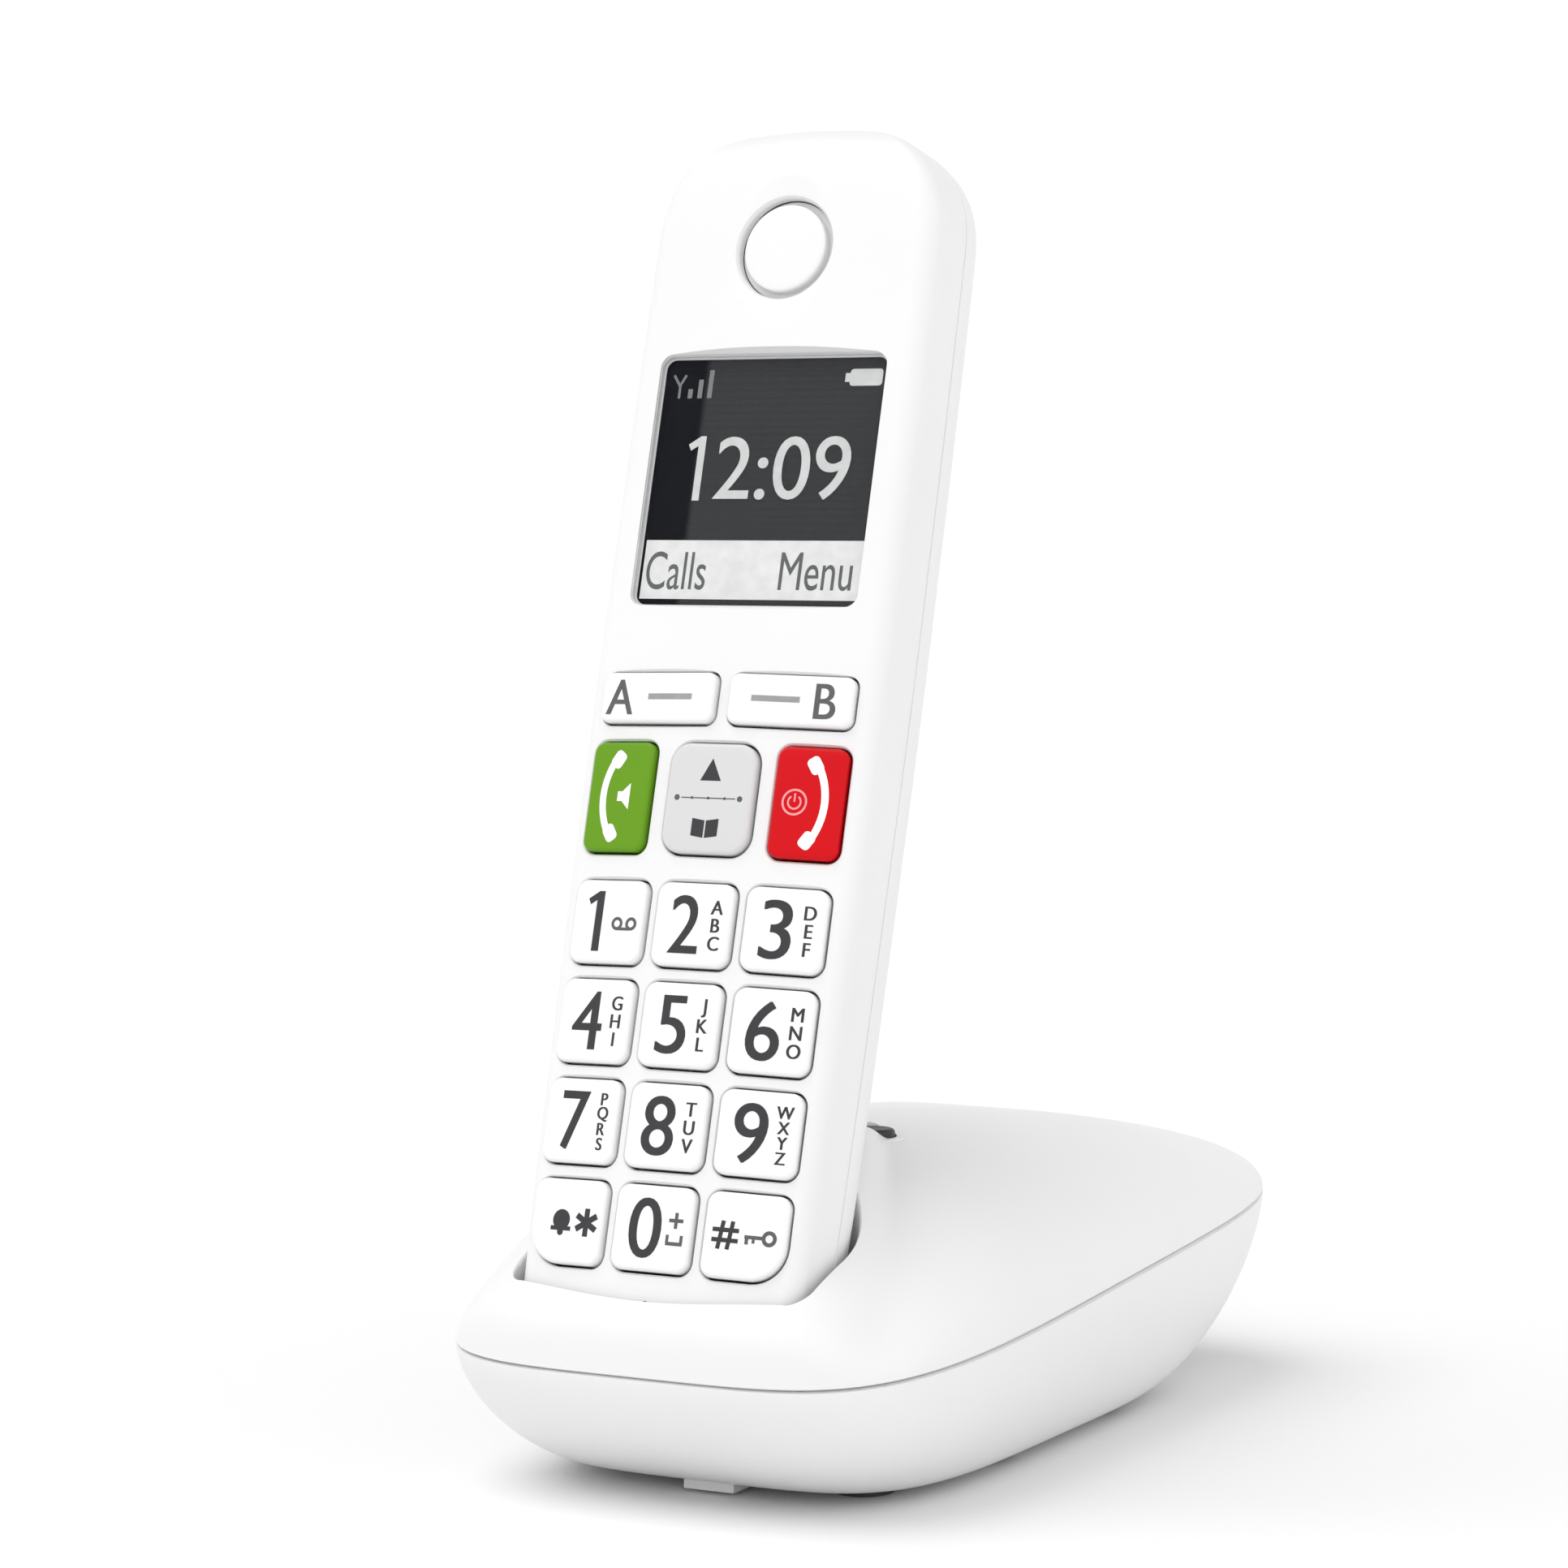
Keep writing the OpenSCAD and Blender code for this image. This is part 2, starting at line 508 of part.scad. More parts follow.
module thin_bowl(outer, inner, mid_o, mid_i, up) {
  n = ring_n;
  m = len(outer);
  pts = concat([for (r = outer) each r], [for (r = inner) each r], [mid_o, mid_i]);
  b = m * n;
  a = concat(
    skin_faces(n, m, 0), turned(skin_faces(n, m, b)),
    [for (i = [0:n - 1]) each [
      [(m - 1) * n + i, (m - 1) * n + (i + 1) % n, 2 * b],
      [b + (m - 1) * n + (i + 1) % n, b + (m - 1) * n + i, 2 * b + 1],
      [(i + 1) % n, i, b + i], [(i + 1) % n, b + i, b + (i + 1) % n]]]);
  polyhedron(pts, up ? turned(a) : a, convexity = 6);
}
module top_skin() {
  thin_bowl([for (u = top_u) [for (k = ring) top_point(k, u, 0)]],
    [for (u = top_u) [for (k = ring) top_point(k, u, base_wall)]],
    [0, 0, crown(0)], [0, 0, crown(0) - base_wall], true);
}
// the room under the top skin, down to a level just over the underside
module top_room() {
  rings = [for (u = top_u) [for (k = ring) top_point(k, u, u > 0.999 ? base_wall * 1.2 + 0.5 : base_wall / 2)]];
  n = ring_n;
  m = len(rings);
  low = [for (k = ring) let (p = hull_point(k, 0.8, base_wall + 0.6)) [p[0], p[1], foot_lift + 4]];
  pts = concat([for (r = rings) each r], [[0, 0, crown(0) - base_wall / 2]], low);
  b = m * n;
  polyhedron(pts, concat(turned(skin_faces(n, m, 0)),
    [for (i = [0:n - 1]) [(m - 1) * n + (i + 1) % n, (m - 1) * n + i, b]],
    [for (i = [0:n - 1]) each [
      [b + 1 + i, b + 1 + (i + 1) % n, (i + 1) % n], [b + 1 + i, (i + 1) % n, i]]],
    [[for (i = [n - 1:-1:0]) b + 1 + i]]), convexity = 6);
}

// ---- cradle -----------------------------------------------------------------------
pocket_z = 30;
module pocket_outline(g) {
  w = half_w(pocket_z) + g;
  polygon(concat(
    [for (u = front_unit) [u[0] * w, front_depth - (front_depth + g) * u[1]]],
    [for (i = [len(rear_unit) - 1:-1:0]) [rear_unit[i][0] * w, front_depth + (rear_d + g) * rear_unit[i][1]]]));
}
floor_z = -0.9;
floor_t = 2;
rest_z = -0.2;
tub_wall = 1.8;
pin_r = 1.3;
boss_xy = [[bx * 0.62, -by * 0.2], [-bx * 0.62, -by * 0.2], [bx * 0.62, by * 0.3], [-bx * 0.62, by * 0.3]];
boss_z = foot_lift + 12.4;
function boss_top(p) = top_height(p[0] + sign(p[0]) * 3.3, p[1] + sign(p[1]) * 3.3) - 0.7;
page_xy = [bx * 0.238, -by + 54.6];
page_r = 3;
page_z = top_height(page_xy[0], page_xy[1]);
jack_y1 = by - 20;
jack_z0 = foot_lift + base_wall + 2.5 + 1.6 + 0.05;
power_x = -13;
line_x = 13;

module base_top_shell() color("white") difference() {
  union() {
    top_skin();
    intersection() {
      at_handset() translate([0, 0, floor_z - floor_t]) linear_extrude(70) pocket_outline(cradle_gap + tub_wall);
      top_room();
    }
    for (p = boss_xy) translate([p[0], p[1], boss_z])
      cylinder(r = 3.2, h = boss_top(p) - boss_z);
    // guide of the paging key
    translate([page_xy[0], page_xy[1], page_z - 7]) cylinder(r = page_r + 1.6, h = 5.6);
  }
  difference() {
    at_handset() translate([0, 0, floor_z]) linear_extrude(90) pocket_outline(cradle_gap);
    at_handset() for (x = [-1, 1]) translate([x * 14 - 1.5, front_depth - 5, floor_z - 0.5])
      cube([3, 12, rest_z - floor_z + 0.5]);
  }
  for (x = [-1, 1]) at_handset() translate([x * pin_pitch / 2, pad_y, floor_z - floor_t - 2])
    cylinder(r = pin_r + pin_gap, h = 8);
  for (p = boss_xy) translate([p[0], p[1], boss_z - 1]) cylinder(r = 1.25, h = 10);
  translate([page_xy[0], page_xy[1], page_z - 12]) cylinder(r = page_r + 0.25, h = 20);
}
module paging_key() color("dimgray") translate([page_xy[0], page_xy[1], page_z - 9.4]) {
  cylinder(r = page_r, h = 9.2);
  cylinder(r = page_r + 1.2, h = 1.4);
}
module charge_pin(x) {
  at_handset() translate([x, pad_y, 0]) {
    translate([0, 0, -6.4]) cylinder(r = pin_r, h = 6.4 - 0.45 + 0.36);
    translate([0, 0, floor_z - floor_t - 1.2]) cylinder(r = 1.8, h = 0.9);
  }
}
module charge_pin_left() color("gold") charge_pin(-pin_pitch / 2);
module charge_pin_right() color("gold") charge_pin(pin_pitch / 2);
module pin_holder() color("gray") at_handset() translate([0, pad_y, 0]) difference() {
  translate([-pin_pitch / 2 - 4, -4, floor_z - floor_t - 5.6]) cube([pin_pitch + 8, 8, 5.5]);
  for (x = [-1, 1]) translate([x * pin_pitch / 2, 0, floor_z - floor_t - 20]) cylinder(r = 2.1, h = 30);
}
foot_xy = [[bx * 0.44, by * 0.43], [-bx * 0.44, by * 0.43], [bx * 0.44, -by * 0.55], [-bx * 0.44, -by * 0.55]];
foot_r = 4.5;
pcb_half = bx * 0.5;
pcb_post = [[pcb_half - 3.5, -19], [-pcb_half + 3.5, -19], [pcb_half - 3.5, 30], [-pcb_half + 3.5, 30]];
base_pcb_z = foot_lift + base_wall + 2.5;

module jack_cut(x, w) {
  translate([x - w / 2, jack_y1 - 6, jack_z0 - 0.6]) cube([w, 30, 13.2]);
}
module base_bottom_shell() color("white") difference() {
  union() {
    thin_bowl([for (t = hull_t) [for (k = ring) hull_point(k, t, 0) - [0, 0, part_gap * (1 - t)]]],
      [for (t = hull_t) [for (k = ring) hull_point(k, t, base_wall) - [0, 0, part_gap * (1 - t)]]],
      [0, 0, foot_lift], [0, 0, foot_lift + base_wall], false);
    for (p = boss_xy) translate([p[0], p[1], foot_lift + 0.5]) cylinder(r = 4.2, h = boss_z - foot_lift - 0.7);
    for (p = pcb_post) translate([p[0], p[1], foot_lift + 0.5]) cylinder(r = 2.6, h = base_wall + 1.95);
    // moulded tab under the front edge
    translate([-4, -by + under_front - 2.4, foot_lift - 1]) cube([8, 6, 1.8]);
  }
  for (p = boss_xy) {
    translate([p[0], p[1], foot_lift - 1]) cylinder(r = 2.9, h = 3.4);
    translate([p[0], p[1], foot_lift]) cylinder(r = 1.45, h = 20);
  }
  for (p = foot_xy) translate([p[0], p[1], foot_lift - 1]) cylinder(r = foot_r + 0.1, h = 1.7);
  for (p = pcb_post) translate([p[0], p[1], foot_lift + base_wall]) cylinder(r = 0.9, h = 8);
  jack_cut(power_x, 13.4);
  jack_cut(line_x, 15.4);
}
module feet() color("dimgray") for (p = foot_xy) translate([p[0], p[1], 0]) cylinder(r = foot_r, h = foot_lift + 0.68);
module base_screws() color("gray") for (p = boss_xy) translate([p[0], p[1], 0]) difference() {
  union() {
    translate([0, 0, foot_lift + 0.9]) cylinder(r = 2.5, h = 1.48);
    translate([0, 0, foot_lift + 2.3]) cylinder(r = 1.2, h = boss_z - foot_lift + 4.5);
  }
  translate([-1.6, -0.25, foot_lift]) cube([3.2, 0.5, 1.6]);
  translate([-0.25, -1.6, foot_lift]) cube([0.5, 3.2, 1.6]);
}
module base_pcb() color("darkgreen") difference() {
  union() {
    translate([-pcb_half, -30, base_pcb_z]) cube([2 * pcb_half, jack_y1 - 9.5 + 30, 1.6]);
    translate([-5, 4, base_pcb_z + 1.59]) cube([9, 9, 1.4]);
    translate([14, -4, base_pcb_z + 1.59]) cylinder(r = 4, h = 9);
  }
  for (p = pcb_post) translate([p[0], p[1], 0]) cylinder(r = 1, h = 20);
}
module base_rf_shield() color("silver") translate([-20, -6, base_pcb_z + 1.65]) difference() {
  cube([11, 24, 3]);
  translate([0.4, 0.4, -1]) cube([10.2, 23.2, 3.6]);
}
module base_antennas() color("gold") for (x = [-1, 1]) translate([x * (pcb_half - 1), 0, base_pcb_z + 1.65]) {
  translate([-0.4, 20, 0]) cube([0.8, 2, 10]);
  translate([-0.4, 6, 9]) cube([0.8, 24, 2.4]);
}
module pcb_pins() color("silver") for (p = pcb_post) translate([p[0], p[1], foot_lift + base_wall + 0.4]) {
  cylinder(r = 0.85, h = 3.8);
  translate([0, 0, 3.75]) cylinder(r = 1.9, h = 1);
}
// a modular socket: an open block with a stepped mouth, and its spring wires in a comb
module socket(x, w, mouth) {
  translate([x, 0, jack_z0]) difference() {
    translate([-w / 2, jack_y1 - 15, 0]) cube([w, 15, 11.6]);
    translate([-mouth / 2, jack_y1 - 13, 2.6]) cube([mouth, 14, 6.7]);
    translate([-2, jack_y1 - 13, 1]) cube([4, 14, 3]);
  }
}
module power_jack() color("black") socket(power_x, 12.6, 7.8);
module line_jack() color("dimgray") socket(line_x, 14.6, 9.8);
module jack_contacts() color("gold") for (j = [[power_x, 2], [line_x, 4]]) for (i = [0:j[1] - 1])
  translate([j[0] + (i - (j[1] - 1) / 2) * 1.3 - 0.2, jack_y1 - 12.95, jack_z0 + 8.75]) cube([0.4, 9, 0.5]);

handset_front_shell();
handset_rear_shell();
battery_cover();
battery_cell_left();
battery_cell_right();
battery_contacts();
display_lens();
lcd_panel();
lcd_frame();
earpiece_cap();
earpiece_gauze();
earpiece_speaker();
handset_pcb();
handset_antenna();
keypad_mat();
ringer_speaker();
microphone();
handset_charge_pads();
handset_screws();
base_top_shell();
base_bottom_shell();
paging_key();
charge_pin_left();
charge_pin_right();
pin_holder();
feet();
base_screws();
base_pcb();
base_rf_shield();
base_antennas();
pcb_pins();
power_jack();
line_jack();
jack_contacts();
for (k = keys) color(
  k[0] == "key_talk" ? "yellowgreen" : k[0] == "key_end" ? "crimson" : "white") at_handset() key_body(k);
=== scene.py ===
"""Cordless phone: the look of the handset, its keys and display, and its desktop base.

Sizes in this file are in millimetres until a mesh is made, and the frame is in metres.
The handset is built along its own axes: x across, y in from the face, z up its length.
"""
import math
import bmesh
import bpy
import numpy as np
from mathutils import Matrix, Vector


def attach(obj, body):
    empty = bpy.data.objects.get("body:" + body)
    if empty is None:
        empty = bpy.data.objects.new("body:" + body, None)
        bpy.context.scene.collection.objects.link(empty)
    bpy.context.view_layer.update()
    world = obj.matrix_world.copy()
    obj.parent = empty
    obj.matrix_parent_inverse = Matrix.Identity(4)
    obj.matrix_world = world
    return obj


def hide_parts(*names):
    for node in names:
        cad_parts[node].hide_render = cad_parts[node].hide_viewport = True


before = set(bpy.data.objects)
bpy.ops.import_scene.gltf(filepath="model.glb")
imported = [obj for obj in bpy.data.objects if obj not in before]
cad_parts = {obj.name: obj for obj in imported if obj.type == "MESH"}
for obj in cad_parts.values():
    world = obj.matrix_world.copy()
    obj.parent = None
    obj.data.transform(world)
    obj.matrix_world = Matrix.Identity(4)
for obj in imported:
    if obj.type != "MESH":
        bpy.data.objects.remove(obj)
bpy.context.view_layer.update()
MM = 0.001

# -------------------- sizes
LENGTH, WIDE = 179.0, 48.0
FRONT, REAR = 11.0, 13.0
LEAN = math.radians(15.5)
FACE_R = 128.0
WALL = 1.8
SEAT_Y, SEAT_Z = -74.9, 23.7
BASE_W, BASE_D = 82.4, 154.2
SEAM_MID, SEAM_RISE = 25.8, 0.07
CREST, LIP, FALL, CLIMB = 49.9, 34.5, 0.05, 44.0
SHELL = 2.2
UNDER_X, UNDER_FRONT, UNDER_BACK, SQUARE, LIFT = 11.5, 24.5, 34.0, 4.4, 1.5
PITCH_X, PITCH_Z, ROW_0 = 14.0, 14.2, 17.0
KEY_W, KEY_H, RISE = 12.2, 11.9, 0.8
CALL_W, CALL_H, NAV_W, DIAL_H = 10.4, 15.8, 13.8, 7.3
CALL_Z = ROW_0 + 3 * PITCH_Z + KEY_H / 2 + 4.2 + CALL_H / 2
DIAL_Z = CALL_Z + CALL_H / 2 + 2.9 + DIAL_H / 2
CALL_X = NAV_W / 2 + 3 + CALL_W / 2
DIAL_W = CALL_X + CALL_W / 2 - 1.3
DIAL_X = 1.1 + DIAL_W / 2
WINDOW_W, WINDOW_H, WINDOW_Z = 36.2, 36.8, 124.6
EAR_Z, EAR_R, EAR_SLOT, DISH_R, DISH_DEEP = 158.8, 7.5, 1.0, 11.0, 0.5
COVER_Z, COVER_L, COVER_W = 48.0, 62.0, 29.6
COVER_MID = COVER_Z + COVER_L / 2
TRAY_W, TRAY_L = 22.6, COVER_L - 6
TOP_CURVE, END_CURVE = 19, 5
HOUSING_GROOVE, BASE_GROOVE = 0.5, 0.6
POCKET_GAP, CRADLE_WALL = 0.8, 1.8
KEY_GAP = 0.3
OUTLINE_STEPS = 240
INK, FILM, HAIR = 0.03, 0.006, 0.0015
DIGIT_H, SCREEN_H = 8.6, 9.6
BORDER = 3.6


# -------------------- finishes
class Value:
    """A shader socket that can be added, multiplied and compared like a number."""

    def __init__(self, paint, socket):
        self.paint, self.socket = paint, socket

    def _math(self, operation, *terms):
        return self.paint.add("ShaderNodeMath", {"operation": operation}, dict(enumerate(terms)))

    def __add__(self, other):
        return self._math("ADD", self, other)

    __radd__ = __add__

    def __sub__(self, other):
        return self._math("SUBTRACT", self, other)

    def __rsub__(self, other):
        return self._math("SUBTRACT", other, self)

    def __mul__(self, other):
        return self._math("MULTIPLY", self, other)

    __rmul__ = __mul__

    def __gt__(self, other):
        return self._math("GREATER_THAN", self, other)

    def __lt__(self, other):
        return self._math("LESS_THAN", self, other)

    def part(self, name):
        """The part of a coordinate called X, Y or Z."""
        return self.paint.add("ShaderNodeSeparateXYZ", {}, {0: self}, name)

    def between(self, low, high):
        """0 below low, 1 above high, and a straight climb between them."""
        return self.paint.add("ShaderNodeMapRange", {"clamp": True}, {0: self, 1: low, 2: high})


class Paint:
    """One material, whose nodes are added by their type."""

    def __init__(self, name):
        self.material = bpy.data.materials.new(name)
        self.material.use_nodes = True
        self.tree = self.material.node_tree
        self.shader = next(n for n in self.tree.nodes if n.type == "BSDF_PRINCIPLED")

    def add(self, kind, settings, sockets, output=0):
        node = self.tree.nodes.new(kind)
        for key, value in settings.items():
            setattr(node, key, value)
        for key, value in sockets.items():
            self.feed(node.inputs[key], value)
        return Value(self, node.outputs[output])

    def feed(self, socket, value):
        if isinstance(value, Value):
            self.tree.links.new(value.socket, socket)
        else:
            socket.default_value = value

    def set(self, **sockets):
        for key, value in sockets.items():
            self.feed(self.shader.inputs[key.replace("_", " ")], value)

    def place(self):
        return self.add("ShaderNodeTexCoord", {}, {}, "Object")

    def noise(self, scale, detail=2.0, rough=0.5, where=None):
        return self.add("ShaderNodeTexNoise", {}, {
            "Vector": where or self.place(), "Scale": scale, "Detail": detail, "Roughness": rough}, "Fac")

    def mix(self, share, a, b):
        return self.add("ShaderNodeMix", {"data_type": "RGBA"}, {0: share, 6: a, 7: b}, 2)

    def bump(self, height, distance):
        normal = self.add("ShaderNodeBump", {}, {"Height": height, "Distance": distance, "Strength": 1.0})
        self.set(Normal=normal)


def shade(colour, share):
    return [min(1.0, c * share) for c in colour[:3]] + [1.0]


def moulded(name, colour, rough=0.3, coat=0.0, grain=2600.0, depth=0.000012, dust=0.985, ior=1.46):
    """Injection-moulded plastic: faint flow in its colour, a fine spark-eroded grain, uneven gloss."""
    p = Paint(name)
    spread = 0.06
    flow = p.noise(38.0, 3.0)
    fine = p.noise(grain, 3.0, 0.6)
    p.set(Base_Color=p.mix(flow.between(0.35, 0.7), shade(colour, 1.0), shade(colour, dust)),
          Roughness=fine * spread + flow * spread * 0.6 + (rough - spread * 0.8),
          IOR=ior, Coat_Weight=coat, Coat_Roughness=0.08)
    p.bump(fine, depth)
    return p.material


def metal(name, colour, rough=0.3, brushed=(1.0, 1.0, 14.0)):
    """Plated sheet or turned metal: fine drawn lines and slight tarnish."""
    p = Paint(name)
    where = p.add("ShaderNodeMapping", {}, {"Vector": p.place(), "Scale": brushed})
    lines = p.noise(900.0, 4.0, 0.7, where)
    stain = p.noise(160.0, 3.0)
    p.set(Base_Color=p.mix(stain.between(0.4, 0.75), shade(colour, 1.0), shade(colour, 0.8)),
          Metallic=1.0, Roughness=lines * 0.16 + stain * 0.1 + (rough - 0.12))
    p.bump(lines, 0.00001)
    return p.material


def rubbery(name, colour, rough=0.75):
    """Silicone or foot rubber: matt, with a powdery grain."""
    p = Paint(name)
    fine = p.noise(1700.0, 5.0, 0.7)
    cloud = p.noise(120.0, 3.0)
    p.set(Base_Color=p.mix(cloud.between(0.3, 0.75), shade(colour, 1.1), shade(colour, 0.86)),
          Roughness=fine * 0.15 + (rough - 0.07))
    p.bump(fine, 0.00004)
    return p.material


def circuit(name):
    """A circuit board's solder mask over copper tracks, with tinned pads."""
    p = Paint(name)
    where = p.place()
    tracks = p.add("ShaderNodeTexBrick", {"offset": 0.37, "squash": 1.6}, {
        "Vector": where, "Scale": 260.0, "Mortar Size": 0.035, "Row Height": 0.3}, "Fac")
    dots = p.add("ShaderNodeTexVoronoi", {}, {
        "Vector": where, "Scale": 420.0, "Randomness": 0.35}, "Distance")
    pad = dots < 0.16
    mask = p.mix(tracks, (0.012, 0.12, 0.045, 1), (0.03, 0.22, 0.085, 1))
    p.set(Base_Color=p.mix(pad, mask, (0.72, 0.7, 0.62, 1)),
          Roughness=0.36 - pad * 0.1 + tracks * 0.05, Metallic=pad * 0.9, Coat_Weight=0.3)
    p.bump(tracks + pad, 0.00004)
    return p.material


def sleeve(name):
    """A cell's printed shrink sleeve, with a band round one end."""
    p = Paint(name)
    along = p.place().part("Z")
    fine = p.noise(1500.0, 2.0)
    band = p.noise(60.0, 1.0)
    p.set(Base_Color=p.mix((along * 40.0 + band * 0.5) > 2.9, (0.02, 0.2, 0.1, 1), (0.75, 0.77, 0.76, 1)),
          Roughness=fine * 0.1 + 0.22, Coat_Weight=0.5)
    p.bump(fine, 0.00001)
    return p.material


def gauze(name):
    """Woven acoustic gauze: a dense mesh of grey threads."""
    p = Paint(name)
    where = p.place()
    weave = p.add("ShaderNodeTexVoronoi", {"feature": "F1"}, {
        "Vector": where, "Scale": 2600.0, "Randomness": 0.0}, "Distance")
    cloud = p.noise(300.0)
    p.set(Base_Color=p.mix(weave.between(0.2, 0.6), (0.34, 0.345, 0.35, 1), (0.13, 0.13, 0.135, 1)),
          Roughness=cloud * 0.2 + 0.6)
    p.bump(1 - weave, 0.00008)
    return p.material


def screen_glass(name):
    """The window: clear tinted plastic with a hard gloss."""
    p = Paint(name)
    haze = p.noise(90.0, 3.0)
    fine = p.noise(3000.0, 2.0)
    p.set(Base_Color=p.mix(haze, (0.02, 0.021, 0.024, 1), (0.03, 0.031, 0.034, 1)),
          Alpha=haze * 0.02 + 0.07, Roughness=haze * 0.04 + 0.1, IOR=1.14)
    p.bump(fine, 0.000002)
    return p.material


def lcd_field(name):
    """The display itself: a fine cell grid over a dark field, with a painted reflection, a darker band along
    its left side.
    """
    p = Paint(name)
    where = p.place()
    across = where.part("X")
    cells = p.add("ShaderNodeTexVoronoi", {}, {
        "Vector": where, "Scale": 3400.0, "Randomness": 0.0}, "Distance")
    # painted reflection: the field is painted darker left of x = -11.6 mm, as a dark band reflected in the
    # glass
    reflection_band = (across * 1000.0).between(-11.6, -10.6)
    dark = p.mix(reflection_band, (0.007, 0.0075, 0.011, 1), (0.056, 0.057, 0.061, 1))
    p.set(Base_Color=p.mix(cells.between(0.3, 0.6) * 0.2, dark, (0.02, 0.02, 0.022, 1)),
          Roughness=cells * 0.1 + 0.5, IOR=1.1)
    p.bump(cells, 0.000006)
    return p.material


def printed(name, colour, rough=0.42):
    """Pad-printed ink on a key: dense, with slightly starved edges."""
    p = Paint(name)
    fine = p.noise(3200.0, 3.0, 0.6)
    cloud = p.noise(500.0)
    p.set(Base_Color=p.mix(cloud.between(0.35, 0.75), shade(colour, 1.0), shade(colour, 1.12)),
          Roughness=fine * 0.12 + (rough - 0.06), IOR=1.3)
    p.bump(fine, 0.000006)
    return p.material


WHITE = (0.79, 0.79, 0.79)
finish = {
    "housing_white": moulded("housing_white", WHITE, 0.37, 0.04, depth=0.000003),
    "key_white": moulded("key_white", (0.82, 0.82, 0.82), 0.32, 0.05, 2000.0, 0.000004),
    "key_green": moulded("key_green", (0.13, 0.31, 0.012), 0.4, 0.0, 2200.0, 0.000004, dust=0.93, ior=1.25),
    "key_red": moulded("key_red", (0.6, 0.001, 0.006), 0.4, 0.0, 2200.0, 0.000004, dust=0.93, ior=1.25),
    "key_grey": moulded("key_grey", (0.62, 0.62, 0.622), 0.38, 0.0, 2200.0, 0.000004),
    "inner_white": moulded("inner_white", (0.7, 0.7, 0.68), 0.45),
    "grey_plastic": moulded("grey_plastic", (0.09, 0.09, 0.095), 0.42, dust=0.9),
    "dark_plastic": moulded("dark_plastic", (0.02, 0.02, 0.022), 0.45, dust=0.8),
    "circuit_board": circuit("circuit_board"),
    "silicone": rubbery("silicone", (0.5, 0.5, 0.5)),
    "foot_rubber": rubbery("foot_rubber", (0.045, 0.045, 0.048)),
    "cell_sleeve": sleeve("cell_sleeve"),
    "spring_metal": metal("spring_metal", (0.72, 0.71, 0.69)),
    "gold_metal": metal("gold_metal", (0.83, 0.6, 0.25), 0.25),
    "screw_steel": metal("screw_steel", (0.42, 0.42, 0.43), 0.38, (1, 1, 1)),
    "gauze": gauze("gauze"),
    "lens": screen_glass("lens"),
    "lcd_glass": lcd_field("lcd_glass"),
    "ink": printed("ink", (0.04, 0.04, 0.043)),
    "ink_soft": printed("ink_soft", (0.1, 0.1, 0.104)),
    "ink_pale": printed("ink_pale", (0.3, 0.3, 0.305)),
    "ink_white": printed("ink_white", (0.86, 0.86, 0.85)),
    "ink_pink": printed("ink_pink", (0.8, 0.3, 0.32)),
    "screen_ink": printed("screen_ink", (0.14, 0.145, 0.15)),
    "screen_pale": printed("screen_pale", (0.24, 0.245, 0.25)),
    "lcd_mark": printed("lcd_mark", (0.72, 0.725, 0.725), 0.5),
    "lcd_bar": printed("lcd_bar", (0.87, 0.875, 0.87), 0.5),
}


# -------------------- mesh making
def lean_back(points):
    """From the handset's own axes to the frame, in metres."""
    q = np.asarray(points, float)
    c, s = math.cos(LEAN), math.sin(LEAN)
    y, z = q[:, 1] * c + q[:, 2] * s + SEAT_Y, q[:, 2] * c - q[:, 1] * s + SEAT_Z
    return np.stack([q[:, 0], y, z], 1) * MM


def upright(points):
    return np.asarray(points, float) * MM


def solid(name, points, faces, to_frame=upright, material=None, angle=35.0):
    """A mesh object whose edges sharper than angle stay crisp."""
    mesh = bpy.data.meshes.new(name)
    mesh.from_pydata([tuple(p) for p in to_frame(points)], [], faces)
    mesh.validate()
    bm = bmesh.new()
    bm.from_mesh(mesh)
    bmesh.ops.remove_doubles(bm, verts=bm.verts, dist=1e-7)
    bmesh.ops.recalc_face_normals(bm, faces=bm.faces)
    bm.to_mesh(mesh)
    bm.free()
    obj = bpy.data.objects.new(name, mesh)
    bpy.context.scene.collection.objects.link(obj)
    if material:
        mesh.materials.append(finish[material])
    soften(obj, angle)
    return obj


def soften(obj, angle=35.0):
    mesh = obj.data
    mesh.shade_smooth()
    mesh.set_sharp_from_angle(angle=math.radians(angle))


def rings_to_faces(count, around, start=0):
    """Quads between rings of points that follow one another."""
    faces = []
    for j in range(count - 1):
        for i in range(around):
            a, b = start + j * around + i, start + j * around + (i + 1) % around
            faces.append((a, b, b + around, a + around))
    return faces


def loft(rings):
    """Points and faces of a closed body through rings of equal length."""
    around = len(rings[0])
    points = [p for r in rings for p in r]
    last = len(points) - around
    faces = rings_to_faces(len(rings), around)
    faces += [tuple(range(around - 1, -1, -1)), tuple(range(last, last + around))]
    return points, faces


def circle(steps, r=1.0, x=0.0, y=0.0):
    turns = np.linspace(0, 2 * math.pi, steps + 1)[:-1]
    return [(x + r * math.cos(a), y + r * math.sin(a)) for a in turns]


def rounded(w, h, r, steps=8, big=None):
    """A rounded outline about the origin. big is (-1 left or 1 right, radius) of one lower corner."""
    radii = {(1, 1): r, (-1, 1): r, (-1, -1): r, (1, -1): r}
    if big:
        radii[(big[0], -1)] = big[1]
    out = []
    for (sx, sy), first in (((1, 1), 0), ((-1, 1), 90), ((-1, -1), 180), ((1, -1), 270)):
        q = radii[(sx, sy)]
        for k in range(steps + 1):
            a = math.radians(first + 90 * k / steps)
            out.append((sx * (w / 2 - q) + q * math.cos(a), sy * (h / 2 - q) + q * math.sin(a)))
    return out


